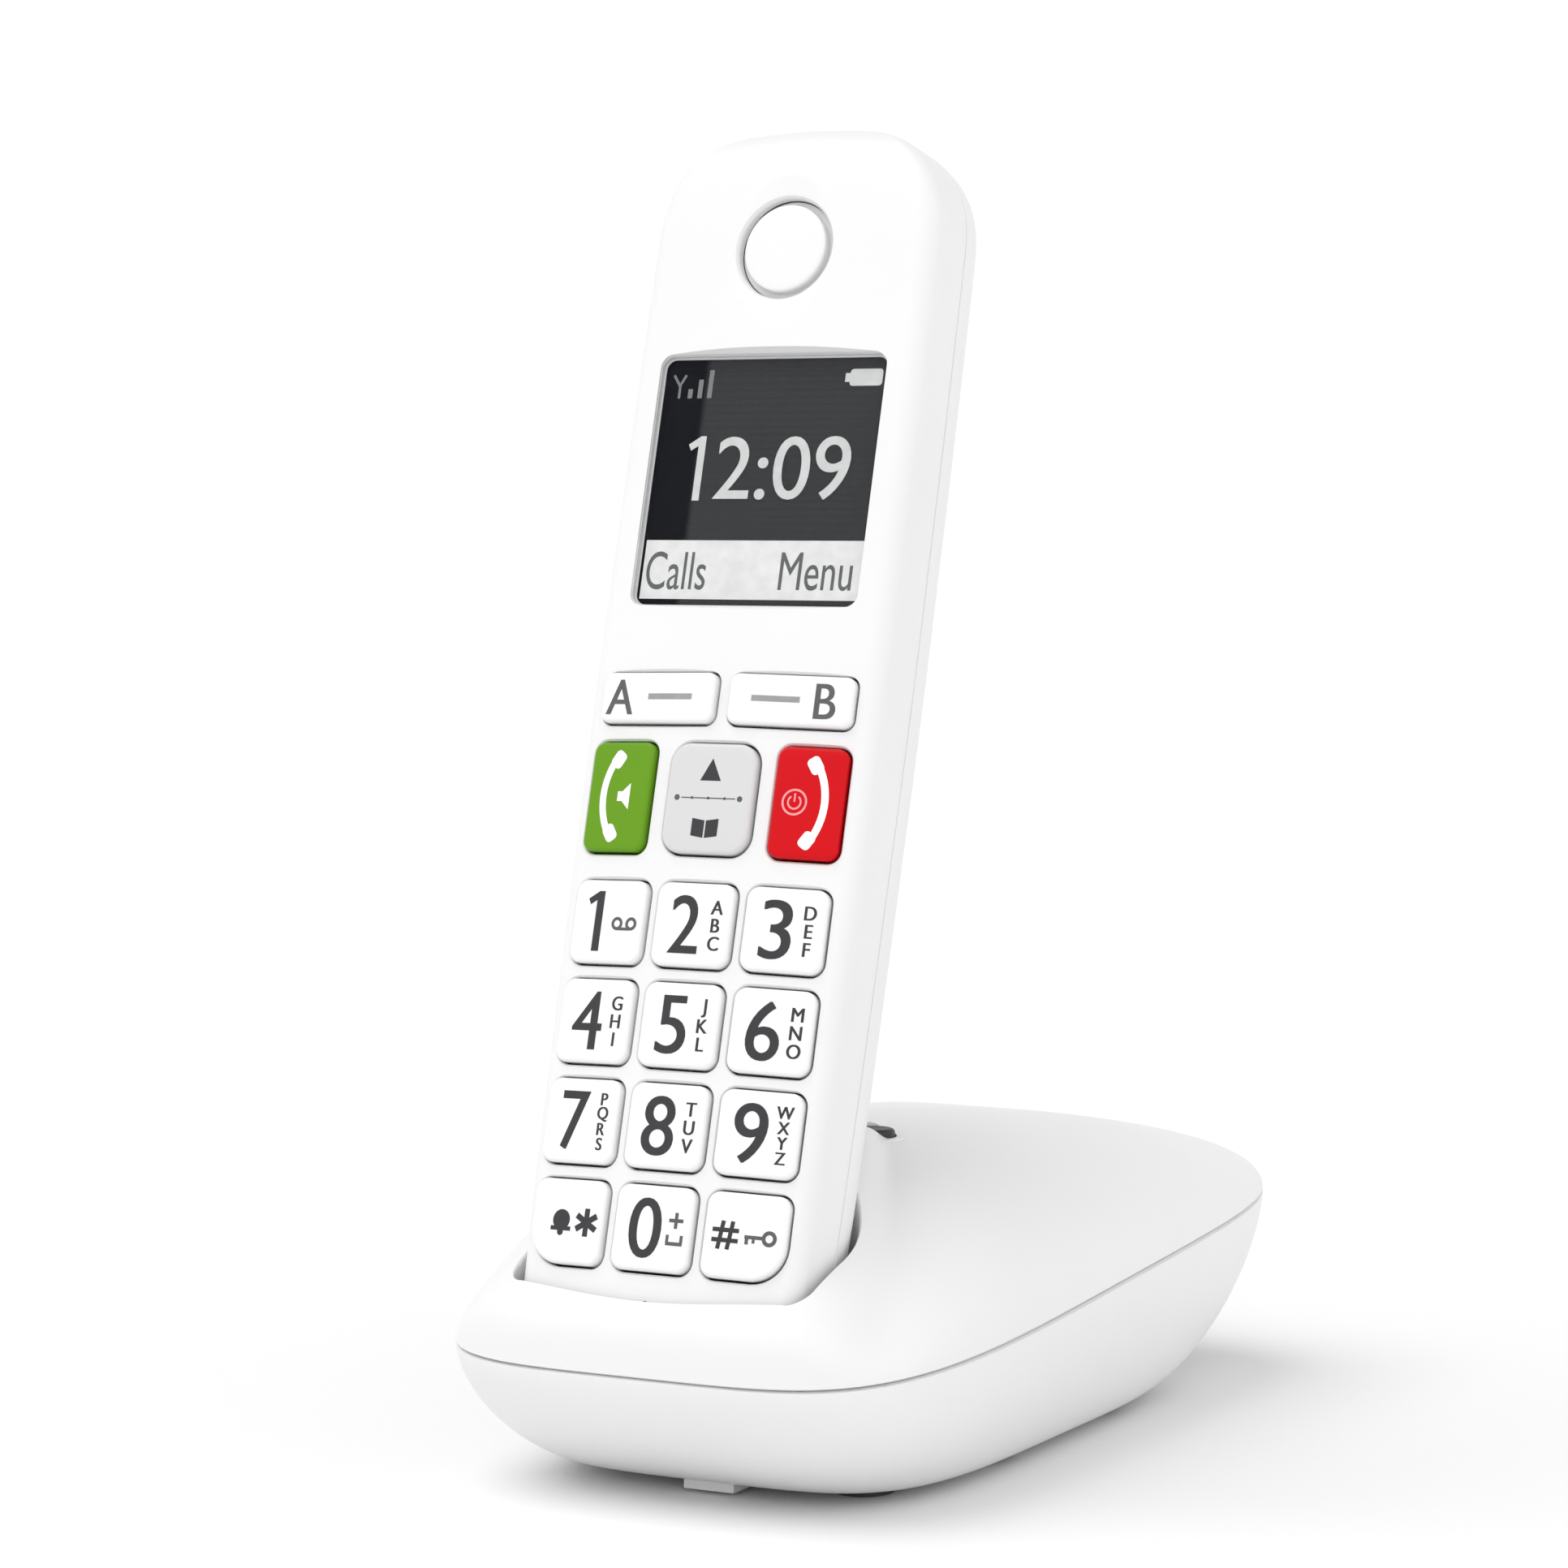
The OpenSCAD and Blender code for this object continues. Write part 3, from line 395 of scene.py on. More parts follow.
def cut(obj, tools, mode="DIFFERENCE", angle=35.0):
    """Cuts obj with each tool, then throws the tools away."""
    for tool in tools:
        m = obj.modifiers.new("cut", "BOOLEAN")
        m.operation, m.solver, m.object = mode, "EXACT", tool
    graph = bpy.context.evaluated_depsgraph_get()
    mesh = bpy.data.meshes.new_from_object(obj.evaluated_get(graph), depsgraph=graph)
    old = obj.data
    obj.modifiers.clear()
    name = old.name
    obj.data = mesh
    bpy.data.meshes.remove(old)
    mesh.name = name
    for tool in tools:
        bpy.data.objects.remove(tool)
    bm = bmesh.new()
    bm.from_mesh(mesh)
    bmesh.ops.dissolve_degenerate(bm, dist=2e-7, edges=bm.edges)
    bm.to_mesh(mesh)
    bm.free()
    soften(obj, angle)
    return obj


def gather(tools):
    """One object from tools that don't touch each other."""
    bm = bmesh.new()
    for tool in tools:
        bm.from_mesh(tool.data)
        bpy.data.objects.remove(tool)
    mesh = bpy.data.meshes.new("tool")
    bm.to_mesh(mesh)
    bm.free()
    obj = bpy.data.objects.new("tool", mesh)
    bpy.context.scene.collection.objects.link(obj)
    return obj


def wear(obj, body, node=None, slot=None):
    """Puts a finished piece on its body, and in place of its CAD node."""
    if node:
        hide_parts(*([node] if isinstance(node, str) else node))
    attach(obj, body)
    return obj


# -------------------- handset shape
def body_w(z):
    t = np.asarray(z, float) / LENGTH
    shares = [0.925, 0.945, 0.965, 0.985, 1, 0.995, 0.975]
    return np.interp(t, [0, 0.06, 0.17, 0.33, 0.52, 0.75, 1], shares)


KNOTS = np.linspace(0, LENGTH, 400)
EVEN_W = np.convolve(np.pad(body_w(KNOTS), 30, mode="edge"), np.ones(61) / 61, "valid")


def end_top(z, z1, p):
    return 1.0 if z <= z1 else max(0.0, 1 - ((z - z1) / (LENGTH - z1)) ** p) ** (1 / p)


def end_low(z, r, h):
    return 1.0 if z >= r else 1 - r / h + math.sqrt(max(0.0, r * r - (r - z) ** 2)) / h


def half_w(z):
    even = WIDE / 2 * float(np.interp(z, KNOTS, EVEN_W))
    return even * end_top(z, LENGTH - TOP_CURVE, 2.5) * end_low(z, END_CURVE, WIDE / 2)


def depth_front(z):
    return FRONT * end_top(z, LENGTH - 10, 2.4) * end_low(z, 4, FRONT)


def depth_rear(z):
    return REAR * end_top(z, LENGTH - 14, 2.4) * end_low(z, 4, REAR)


def sag(x):
    return FACE_R - math.sqrt(FACE_R * FACE_R - x * x)


def front_profile():
    """Shares of half width and of front depth, from one seam over the face to the other."""
    edge_x, side_x, side_y = 1 - 3.5 / 24, 1 - 0.6 / 24, 5.2 / 11
    edge_y = (edge_x * 24) ** 2 / (2 * FACE_R) / 11
    climb = [0.0, 0.02, 0.045] + list(np.linspace(0.15, 1, 8)[:-1])
    right = [(1.0 - (1 - side_x) * k, (1 - side_y) * k) for k in climb]
    right += [(edge_x + (side_x - edge_x) * math.cos(a), 1 - side_y + (side_y - edge_y) * math.sin(a))
              for a in np.linspace(0, math.pi / 2, 17)]
    right += [(edge_x * k, 1 - edge_y * k * k) for k in np.linspace(1, 0, 22)[1:]]
    return right + [(-x, y) for x, y in right[-2::-1]]


def rear_profile(steps=96):
    turns = [180 * i / steps for i in range(steps + 1)]
    turns = [0, 0.35, 0.9] + turns[1:-1] + [179.1, 179.65, 180]
    out = []
    for a in np.radians(turns):
        c, s = math.cos(a), math.sin(a)
        out.append((math.copysign(abs(c) ** (2 / 2.6), c), abs(s) ** (2 / 2.6)))
    return out


def handset_heights():
    turns = np.linspace(0, math.pi / 2, 12)
    low = [END_CURVE * (1 - math.cos(a)) for a in turns]
    mid = list(np.linspace(END_CURVE, LENGTH - TOP_CURVE, 70))[1:]
    tip = [LENGTH - TOP_CURVE + TOP_CURVE * math.sin(a) for a in np.linspace(0, 1.53, 30)][1:]
    return low + mid + tip


def half_shell(name, profile, side, depth, groove=HOUSING_GROOVE):
    """A thin half of the housing, open at the seam, its rim eased so that the parting line shows."""
    def ring(z, shrink, zi):
        w, d = max(0.4, half_w(z) - shrink), max(0.3, depth(z) - shrink)
        return [(u * w, FRONT - side * d * v, zi) for u, v in profile]

    heights = handset_heights()
    outer = [ring(z, 0, z) for z in heights]
    inner = [ring(z, WALL, WALL + z * (LENGTH - 2 * WALL) / LENGTH) for z in heights]
    n, m = len(profile), len(heights)
    for r, z in zip(outer, heights):
        for k in (0, -1):
            x, y, z0 = r[k]
            r[k] = (x * (1 - groove / max(half_w(z), 0.5)), y, z0)
    points = [p for a, b in zip(outer, inner) for p in a + b[::-1]]
    k = 2 * n
    faces = rings_to_faces(m, k)
    faces += [tuple(range(n - 1, -1, -1)), tuple(range(2 * n - 1, n - 1, -1)), (0, n - 1, n, 2 * n - 1)]
    t = (m - 1) * k
    faces += [tuple(range(t, t + n)), tuple(range(t + n, t + 2 * n)), (t, t + 2 * n - 1, t + n, t + n - 1)]
    return solid(name, points, faces, lean_back, "housing_white")


def at_face(points, x, z):
    """Moves points drawn about the origin, x across, y inwards, z up, to a place on the bulged face."""
    a = math.asin(x / FACE_R)
    c, s = math.cos(a), math.sin(a)
    return [(x + px * c - py * s, sag(x) + px * s + py * c, z + pz) for px, py, pz in points]


def straight(points, x, z):
    """Moves points drawn about the origin to a place, without turning them."""
    return [(a + x, b, c + z) for a, b, c in points]


def prism(name, outline, levels, x=0.0, z=0.0, place=at_face):
    """A body through copies of an outline: levels are (depth, grow), grow moving the outline outwards."""
    n = len(outline)
    rings = []
    for y, grow in levels:
        ring = []
        for i in range(n):
            (x0, z0), (x1, z1) = outline[i - 1], outline[(i + 1) % n]
            tx, tz = x1 - x0, z1 - z0
            size = math.hypot(tx, tz) or 1.0
            ring.append((outline[i][0] + grow * tz / size, y, outline[i][1] - grow * tx / size))
        rings.append(place(ring, x, z))
    points, faces = loft(rings)
    return solid(name, points, faces, lean_back)


def number_place(i):
    """The middle of number key i."""
    if i == 0:
        return 0.0, ROW_0
    return ((i - 1) % 3 - 1) * PITCH_X, ROW_0 + PITCH_Z * (3 - (i - 1) // 3)


# name, middle, width, height, corner radius, and a rounder lower corner as in rounded()
KEYS = [(f"key_{i}", *number_place(i), KEY_W, KEY_H, 1.8, None) for i in range(1, 10)]
KEYS += [
    ("key_star", -PITCH_X, ROW_0, KEY_W, KEY_H, 1.8, (-1, 5.0)),
    ("key_0", *number_place(0), KEY_W, KEY_H, 1.8, None),
    ("key_hash", PITCH_X, ROW_0, KEY_W, KEY_H, 1.8, (1, 5.0)),
    ("key_talk", -CALL_X, CALL_Z, CALL_W, CALL_H, 1.6, None),
    ("key_end", CALL_X, CALL_Z, CALL_W, CALL_H, 1.6, None),
    ("key_nav", 0.0, CALL_Z, NAV_W, CALL_H, 3.0, None),
    ("key_a", -DIAL_X, DIAL_Z, DIAL_W, DIAL_H, 1.4, None),
    ("key_b", DIAL_X, DIAL_Z, DIAL_W, DIAL_H, 1.4, None)]
PLACES = {row[0]: row[1:3] for row in KEYS}


def front_shell():
    shell = half_shell("handset_front", front_profile(), 1, depth_front)
    key_levels_out = [(-3.0, 0.55), (0.02, 0.35), (0.32, 0.06), (0.6, 0.0), (6.5, 0.0)]
    openings = []
    for _, x, z, w, h, r, big in KEYS:
        wider = big and (big[0], big[1] + KEY_GAP)
        outline = rounded(w + 2 * KEY_GAP, h + 2 * KEY_GAP, r + KEY_GAP, 8, wider)
        openings.append(prism("tool", outline, key_levels_out, x, z))
    seat_outline = rounded(WINDOW_W + 0.3, WINDOW_H + 0.3, 1.8)
    view_outline = rounded(WINDOW_W - 3, WINDOW_H - 3, 1.0)
    seat_levels = [(-2.0, 1.4), (0.2, 0.7), (1.2, 0.1), (2.6, 0.0)]
    tools = [prism("tool", seat_outline, seat_levels, 0.0, WINDOW_Z),
             prism("tool", view_outline, [(1.0, 0.0), (9.0, 0.0)], 0.0, WINDOW_Z)]
    ear_levels = [(-2.0, 0.5), (DISH_DEEP - 0.2, 0.35), (DISH_DEEP + 0.15, 0.06), (DISH_DEEP + 0.4, 0.0),
                  (6.0, 0.0)]
    tools.append(prism("tool", circle(96, EAR_R), ear_levels, 0.0, EAR_Z))
    tools.append(dish_tool())
    tools.append(prism("tool", circle(96, 0.6)[::6], [(-4, 0), (5, 0)], 0.0, ROW_0 - KEY_H / 2 - 4.6))
    cut(shell, [gather(openings)] + tools, angle=28)
    # the frame round the display is inside, and joins the shell there
    frame_outline = rounded(WINDOW_W + 4, WINDOW_H + 4, 2.0)
    inside = prism("tool", frame_outline, [(WALL - 0.05, 0), (4.7, 0)], 0.0, WINDOW_Z)
    hole = prism("tool", view_outline, [(0.5, 0), (5.2, 0)], 0.0, WINDOW_Z)
    seat = prism("tool", seat_outline, [(0.5, 0), (2.6, 0.0)], 0.0, WINDOW_Z)
    cut(inside, [hole, seat])
    cut(shell, [inside], "UNION", 28)
    return wear(shell, "handset", "handset_front_shell", "housing_white")


def dish_tool():
    """The shallow dish round the earpiece, part of a sphere."""
    sphere = (DISH_R ** 2 + DISH_DEEP ** 2) / (2 * DISH_DEEP)
    rings = []
    for r in (13.0, 12.2, 11.6, 11.0, 10.2, 9.0, 7.5, 5.5, 3.5, 1.5):
        depth = DISH_DEEP - sphere + math.sqrt(sphere * sphere - r * r)
        rings.append([(a, depth, b) for a, b in circle(96, r)])
    rings = [[(x * 1.02, -3.0, z * 1.02) for x, _, z in rings[0]]] + rings
    points, faces = loft(rings)
    return solid("tool", [(x, y, z + EAR_Z) for x, y, z in points], faces, lean_back)


def rear_shell():
    shell = half_shell("handset_rear", rear_profile(), -1, depth_rear)
    outside = FRONT + REAR + 1
    cover_outline = rounded(COVER_W + 0.4, COVER_L + 0.4, 2.0, 5)
    tools = [prism("tool", cover_outline, [(FRONT + 4, 0), (FRONT + REAR + 5, 0)], 0.0, COVER_MID, straight)]
    ringer = COVER_Z + COVER_L + 20
    holes = [(0.0, ringer)]
    holes += [(4.2 * math.cos(a), ringer + 4.2 * math.sin(a)) for a in np.radians(range(0, 360, 60))]
    for x, z in holes:
        tools.append(prism("tool", circle(32, 0.8), [(FRONT + 6, 0), (outside, 0)], x, z, straight))
    upper, lower = WIDE / 2 * 0.667, WIDE / 2 * 0.54
    for x, z in [(upper, LENGTH - 27), (-upper, LENGTH - 27), (lower, 6.4), (-lower, 6.4)]:
        tools.append(prism("tool", circle(32, 2.0), [(FRONT + 3, 0), (outside, 0)], x, z, straight))
    # a shallow recess for each charging contact, in the lower end
    for x in (-9, 9):
        tools.append(prism("tool", rounded(3.8, 1.9, 0.3, 3), [(x - 2.9, 0), (x + 2.9, 0)], FRONT + 5, -0.05,
                           place=lambda ring, a, z: [(y, px + a, pz + z) for px, y, pz in ring]))
    return cut(shell, tools, angle=30)


def rear_inside(shell):
    """The battery tray and the ledge round it, under the cover."""
    ledge = FRONT + REAR - 5.3
    ledge_outline = rounded(COVER_W + 5.2, COVER_L + 3.2, 1.0, 4)
    tray = prism("tool", ledge_outline, [(ledge, 0), (ledge + 1.5, 0)], 0, COVER_MID, straight)
    walls_outline = rounded(TRAY_W + 2.8, TRAY_L + 2.8, 1.0, 4)
    walls = prism("tool", walls_outline, [(8.6, 0), (ledge + 0.9, 0)], 0, COVER_MID, straight)
    cut(tray, [walls], "UNION")
    cut(tray, [prism("tool", rounded(TRAY_W, TRAY_L, 0.5, 4), [(9.8, 0), (30, 0)], 0, COVER_MID, straight)])
    cut(shell, [tray], "UNION", 30)
    return wear(shell, "handset", "handset_rear_shell", "housing_white")


def battery_cover():
    cover = half_shell("battery_cover_skin", rear_profile(), -1, depth_rear, 0)
    outline = rounded(COVER_W, COVER_L, 1.8, 6)
    tool = prism("tool", outline, [(FRONT + 4, 0), (FRONT + REAR + 5, 0)], 0, COVER_MID, straight)
    cut(cover, [tool], "INTERSECT", 30)
    # thumb ribs across the upper end
    skin, ribs = FRONT + REAR, []
    for k in range(5):
        z = COVER_Z + COVER_L - 8 - k * 2.2
        outline = rounded(13 - k * 1.4, 0.9, 0.44, 4)
        ribs.append(prism("tool", outline, [(skin - 0.22, 0), (skin + 3, 0)], 0, z, straight))
    cut(cover, ribs, "DIFFERENCE", 30)
    return wear(cover, "battery_cover", "battery_cover", "housing_white")


# -------------------- keys and their marks
KEY_TOP = -RISE


def key_levels():
    """The key's side, its rounded shoulder and its barely crowned top."""
    back, shoulder = 2.4, 0.55
    out = [(back, -0.15), (back - 0.2, 0.0), (KEY_TOP + shoulder, 0.0)]
    for a in np.linspace(0, math.pi / 2, 8)[1:]:
        out.append((KEY_TOP + shoulder - (shoulder - 0.04) * math.sin(a), -shoulder * (1 - math.cos(a))))
    out.append((KEY_TOP + 0.015, -1.2))
    out.append((KEY_TOP, -2.0))
    return out


def key(name, x, z, w, h, r, big):
    ink = {"key_talk": "key_green", "key_end": "key_red", "key_nav": "key_grey"}.get(name, "key_white")
    rings = []
    for y, grow in key_levels():
        k = -grow
        smaller = big and (big[0], max(0.5, big[1] - k))
        shape = rounded(w - 2 * k, h - 2 * k, max(0.25, r - k), 10, smaller)
        rings.append(at_face([(a, y, b) for a, b in shape], x, z))
    points, faces = loft(rings)
    made = solid(name + "_cap", points, faces, lean_back, ink, 40)
    return wear(made, name, name, ink)


def on_key(name):
    """Where a key's print goes: middle, body, depth, thickness of the ink, and what moves it there."""
    return *PLACES[name], name, KEY_TOP, INK, at_face


def flat_mark(name, shapes, ink, where):
    """Thin raised print. Each shape is a closed outline about the middle, or one with a list of its holes."""
    points, faces = [], []
    for k, shape in enumerate(shapes):
        outline, holes = shape if isinstance(shape, tuple) else (shape, [])
        curve = bpy.data.curves.new("outline", "CURVE")
        curve.dimensions, curve.fill_mode = "2D", "BOTH"
        for loop in [outline] + holes:
            spline = curve.splines.new("POLY")
            spline.points.add(len(loop) - 1)
            for point, (a, b) in zip(spline.points, loop):
                point.co = (a, b, 0, 1)
            spline.use_cyclic_u = True
        curve.extrude = where[4] / 2
        start = len(points)
        add_curve(curve, points, faces)
        # shapes that overlap lie a hair apart
        points[start:] = [(a, b + HAIR * (k % 4), c) for a, b, c in points[start:]]
    return print_on(name, points, faces, ink, where)


def add_curve(curve, points, faces):
    """Adds a curve's mesh to the lists and takes the curve away."""
    holder = bpy.data.objects.new("holder", curve)
    bpy.context.scene.collection.objects.link(holder)
    mesh = bpy.data.meshes.new_from_object(holder)
    start = len(points)
    points.extend((v.co.x, v.co.z, v.co.y) for v in mesh.vertices)
    faces.extend(tuple(start + i for i in f.vertices) for f in mesh.polygons)
    bpy.data.objects.remove(holder)
    bpy.data.meshes.remove(mesh)
    bpy.data.curves.remove(curve)


def print_on(name, points, faces, ink, where):
    x, z, body, level, thick, place = where
    points = place([(a, level - thick * 0.3 - b, c) for a, b, c in points], x, z)
    return wear(solid(name, points, faces, lean_back, ink, 30), body)


def type_mark(name, words, ink, where):
    """Print made of type: each word is (text, height of a capital, x, z, bold, wide, fit). bold is how far
    apart it is printed twice to thicken it, fit the width to fill, or None to be wide times as wide."""
    points, faces = [], []
    for text, size, x, z, bold, wide, fit in words:
        for side, depth in ((-1, 0.0), (1, 0.004))[:2 if bold else 1]:
            curve = bpy.data.curves.new("type", "FONT")
            curve.body = text
            curve.align_x, curve.align_y = "CENTER", "CENTER"
            curve.size = size / 0.72
            curve.extrude = INK / 2
            curve.resolution_u = 6
            start = len(points)
            add_curve(curve, points, faces)
            made = np.array([(p[0], p[2]) for p in points[start:]])
            low, high = made.min(0), made.max(0)
            cx, cz = (low + high) / 2
            grow = (fit - bold) / (high[0] - low[0]) if fit else wide
            for i in range(start, len(points)):
                a, b, c = points[i]
                points[i] = ((a - cx) * grow + x + side * bold / 2, b + depth, c - cz + z)
    return print_on(name, points, faces, ink, where)


def arc(cx, cz, r, a0, a1, steps):
    turns = [math.radians(a) for a in np.linspace(a0, a1, steps)]
    return [(cx + r * math.cos(a), cz + r * math.sin(a)) for a in turns]


def disc(cx, cz, r, steps=28):
    return arc(cx, cz, r, 0, 360, steps + 1)[:-1]


def stroke(path, width):
    """A line of even width along a path, as one closed outline."""
    left, right = [], []
    n = len(path)
    for i, (x, z) in enumerate(path):
        x0, z0 = path[max(i - 1, 0)]
        x1, z1 = path[min(i + 1, n - 1)]
        size = math.hypot(x1 - x0, z1 - z0) or 1.0
        nx, nz = -(z1 - z0) / size * width / 2, (x1 - x0) / size * width / 2
        left.append((x + nx, z + nz))
        right.append((x - nx, z - nz))
    return left + right[::-1]


def bar(x, z, w, h):
    return [(x - w / 2, z - h / 2), (x + w / 2, z - h / 2), (x + w / 2, z + h / 2), (x - w / 2, z + h / 2)]


def receiver(cx, cz, tall, face):
    """A telephone receiver standing on end, its ear and mouth pieces turned towards face, -1 or 1."""
    r, bend = tall * 0.95, 34
    turns = np.radians(np.linspace(-bend, bend, 25))
    spine = [(cx + face * (r - r * math.cos(a)), cz + r * math.sin(a)) for a in turns]
    shapes = [stroke(spine, tall * 0.105)]
    c, s = math.cos(math.radians(bend)), math.sin(math.radians(bend))
    for end in (1, -1):
        x, z = cx + face * (r - r * c), cz + end * r * s
        d, out = s * end * face, 0.35 * face
        piece = rounded(2.0, 2.5, 0.65, 5)
        shapes.append([(x + (a + out) * c + b * d, z - (a + out) * d + b * c) for a, b in piece])
    return shapes


GROUPS = {"2": "ABC", "3": "DEF", "4": "GHI", "5": "JKL", "6": "MNO", "7": "PQRS", "8": "TUV", "9": "WXYZ"}


def figure_one(x, z, tall, thick):
    """A figure one with its flag, x the right side of its stem."""
    left, top = x - thick, z + tall / 2
    return [(x, z - tall / 2), (x, top), (left + thick * 0.25, top), (left - tall * 0.17, top - tall * 0.13),
            (left - tall * 0.12, top - tall * 0.225), (left, top - tall * 0.15), (left, z - tall / 2)]


def loop_of(x, z, r, hole):
    """A disc with a round hole in it."""
    return disc(x, z, r), [disc(x, z, hole)[::-1]]


def digits():
    for i in range(10):
        n = str(i)
        where = on_key(f"key_{n}")
        if i == 1:
            flat_mark("digit_1", [figure_one(-0.9, 0.0, DIGIT_H, 1.25)], "ink", where)
            continue
        fit = 5.1 if i in (0, 4, 6, 8, 9) else 4.7
        type_mark(f"digit_{n}", [(n, DIGIT_H, -1.05, 0.0, 0.22, 1.0, fit)], "ink", where)
        if n in GROUPS:
            count = len(GROUPS[n])
            size, step = (1.8, 2.1) if count == 4 else (2.05, 2.55)
            column = [(letter, size, 3.75, ((count - 1) / 2 - k) * step, 0.14, 0.95, None)
                      for k, letter in enumerate(GROUPS[n])]
            type_mark(f"group_{n}", column, "ink", where)


def signs():
    """The small signs beside 1, 0, star and hash."""
    mail = [loop_of(1.8, -0.3, 0.95, 0.5), loop_of(4.2, -0.3, 0.95, 0.5), bar(3.0, -1.05, 2.4, 0.42)]
    flat_mark("mark_1", mail, "ink_soft", on_key("key_1"))
    space = [bar(3.7, -1.9, 2.6, 0.5), bar(2.6, -1.3, 0.45, 1.2), bar(4.8, -1.3, 0.45, 1.2),
             bar(3.7, 1.3, 0.5, 2.2), bar(3.7, 1.3, 2.2, 0.5)]
    flat_mark("mark_0", space, "ink_soft", on_key("key_0"))
    star = []
    for a in np.radians([90, 30, 150]):
        dx, dz = 1.95 * math.cos(a), 1.95 * math.sin(a)
        star.append(stroke([(3.4 + dx, dz), (3.4 - dx, -dz)], 0.85))
    flat_mark("mark_star", star, "ink", on_key("key_star"))
    bell = [disc(-0.9, 0.2, 1.45), bar(-0.9, -1.0, 3.4, 0.6), disc(-0.9, -1.5, 0.5)]
    flat_mark("mark_bell", bell, "ink", on_key("key_star"))
    sharp = [bar(-2.8, s * 0.7, 3.9, 0.6) for s in (1, -1)]
    sharp += [stroke([(-2.8 + s * 0.7 - 0.25, -1.95), (-2.8 + s * 0.7 + 0.25, 1.95)], 0.6) for s in (1, -1)]
    flat_mark("mark_hash", sharp, "ink", on_key("key_hash"))
    lock = [loop_of(3.7, 0.0, 1.1, 0.55), bar(1.4, 0.0, 2.7, 0.5), bar(0.4, -0.5, 0.5, 1.0),
            bar(1.4, -0.4, 0.42, 0.8)]
    flat_mark("mark_key", lock, "ink_soft", on_key("key_hash"))


def call_marks():
    """What is on the dial, call, end and navigation keys."""
    for name, sign, at in (("a", -1, -6.2), ("b", 1, 5.4)):
        where = on_key(f"key_{name}")
        type_mark(f"letter_{name}", [(name.upper(), 5.3, at, 0.0, 0.18, 0.9, None)], "ink_soft", where)
        flat_mark(f"dash_{name}", [bar(-sign * 2.2, 0.1, 7.4, 0.85)], "ink_pale", where)
    speaker = [(0.1, -0.7), (0.9, -0.7), (2.2, -1.9), (2.2, 1.9), (0.9, 0.7), (0.1, 0.7)]
    talk = receiver(-2.5, 0.0, 10.4, 1) + [[(x - 0.1, z) for x, z in speaker]]
    flat_mark("mark_talk", talk, "ink_white", on_key("key_talk"))
    power = [loop_of(-1.9, 0.0, 1.9, 1.6), stroke(arc(-1.9, 0, 0.95, 125, 415, 18), 0.26),
             bar(-1.9, 0.65, 0.26, 1.2)]
    flat_mark("mark_end", receiver(2.6, 0.0, 10.4, -1), "ink_white", on_key("key_end"))
    flat_mark("mark_power", power, "ink_pink", on_key("key_end"))
    flat_mark("mark_up", [[(-1.65, 2.5), (1.65, 2.5), (0.0, 5.7)]], "ink", on_key("key_nav"))
    book = [[(s * 2.1, -5.4), (s * 0.12, -5.7), (s * 0.12, -3.2), (s * 2.1, -2.9)] for s in (-1, 1)]
    flat_mark("mark_book", book, "ink", on_key("key_nav"))
    line = [bar(0.0, 0.0, 8.6, 0.16)] + [disc(x, 0.0, 0.42, 14) for x in (-5.0, 5.0)]
    line += [disc(x, 0.0, 0.22, 10) for x in (-2.6, 0.0, 2.6)]
    flat_mark("mark_line", line, "ink_soft", on_key("key_nav"))


# -------------------- display and earpiece
def display():
    lens_levels = [(2.55, 0), (1.55, 0), (1.42, -0.06), (1.35, -0.2)]
    lens = prism("display_window", rounded(WINDOW_W, WINDOW_H, 1.7, 8), lens_levels, 0, WINDOW_Z, straight)
    lens.data.materials.append(finish["lens"])
    wear(lens, "handset", "display_lens", "lens")
    w, h = WINDOW_W - BORDER, WINDOW_H - BORDER
    panel_levels = [(4.7, 0), (2.68, 0), (2.63, -0.05)]
    panel = prism("display_panel", rounded(w, h, 0.6, 5), panel_levels, 0, WINDOW_Z, straight)
    panel.data.materials.append(finish["lcd_glass"])
    wear(panel, "handset", "lcd_panel", "lcd_glass")
    # the border printed behind the window continues the display's dark field, and its painted reflection band
    # on the left, to the window's edge
    rim = rounded(WINDOW_W - 0.3, WINDOW_H - 0.3, 1.5, 6)
    border = [(rim, [rounded(w - 0.3, h - 0.3, 0.5, 4)[::-1]])]
    flat_mark("window_border", border, "lcd_glass", (0.0, WINDOW_Z, "handset", 2.59, 0.012, straight))
    level = 2.575
    screen = (0.0, WINDOW_Z, "handset", level, FILM, straight)
    signal = [bar(-13.6 + 1.6 * k, 13.2 + 0.7 * k, 0.75, 1.4 + 1.4 * k) for k in range(3)]
    signal += [stroke([(-16.6, 16.0), (-15.4, 14.3), (-15.4, 12.5)], 0.4),
               stroke([(-14.6, 16.0), (-15.4, 14.5)], 0.4)]
    flat_mark("screen_signal", signal, "screen_pale", screen)
    cell = [rounded(5.2, 2.5, 0.5, 3), bar(-2.95, 0, 0.8, 1.3)]
    flat_mark("screen_battery", [[(x + 14.7, z + 15.3) for x, z in c] for c in cell], "lcd_mark", screen)
    type_mark("screen_time", [("2:09", SCREEN_H, 3.1, 2.0, 0.12, 1.0, 21.6)], "lcd_mark", screen)
    flat_mark("screen_one", [figure_one(-9.9, 2.0, SCREEN_H, 1.15)], "lcd_mark", screen)
    flat_mark("screen_bar", [bar(0.15, -13.05, WINDOW_W - 0.9, 8.7)], "lcd_bar", screen)
    words = [("Calls", 5.8, -12.0, -13.2, 0.0, 1.0, 9.8), ("Menu", 5.8, 10.6, -13.2, 0.0, 1.0, 11.6)]
    above = (0.0, WINDOW_Z, "handset", level - 0.008, FILM, straight)
    type_mark("screen_words", words, "screen_ink", above)


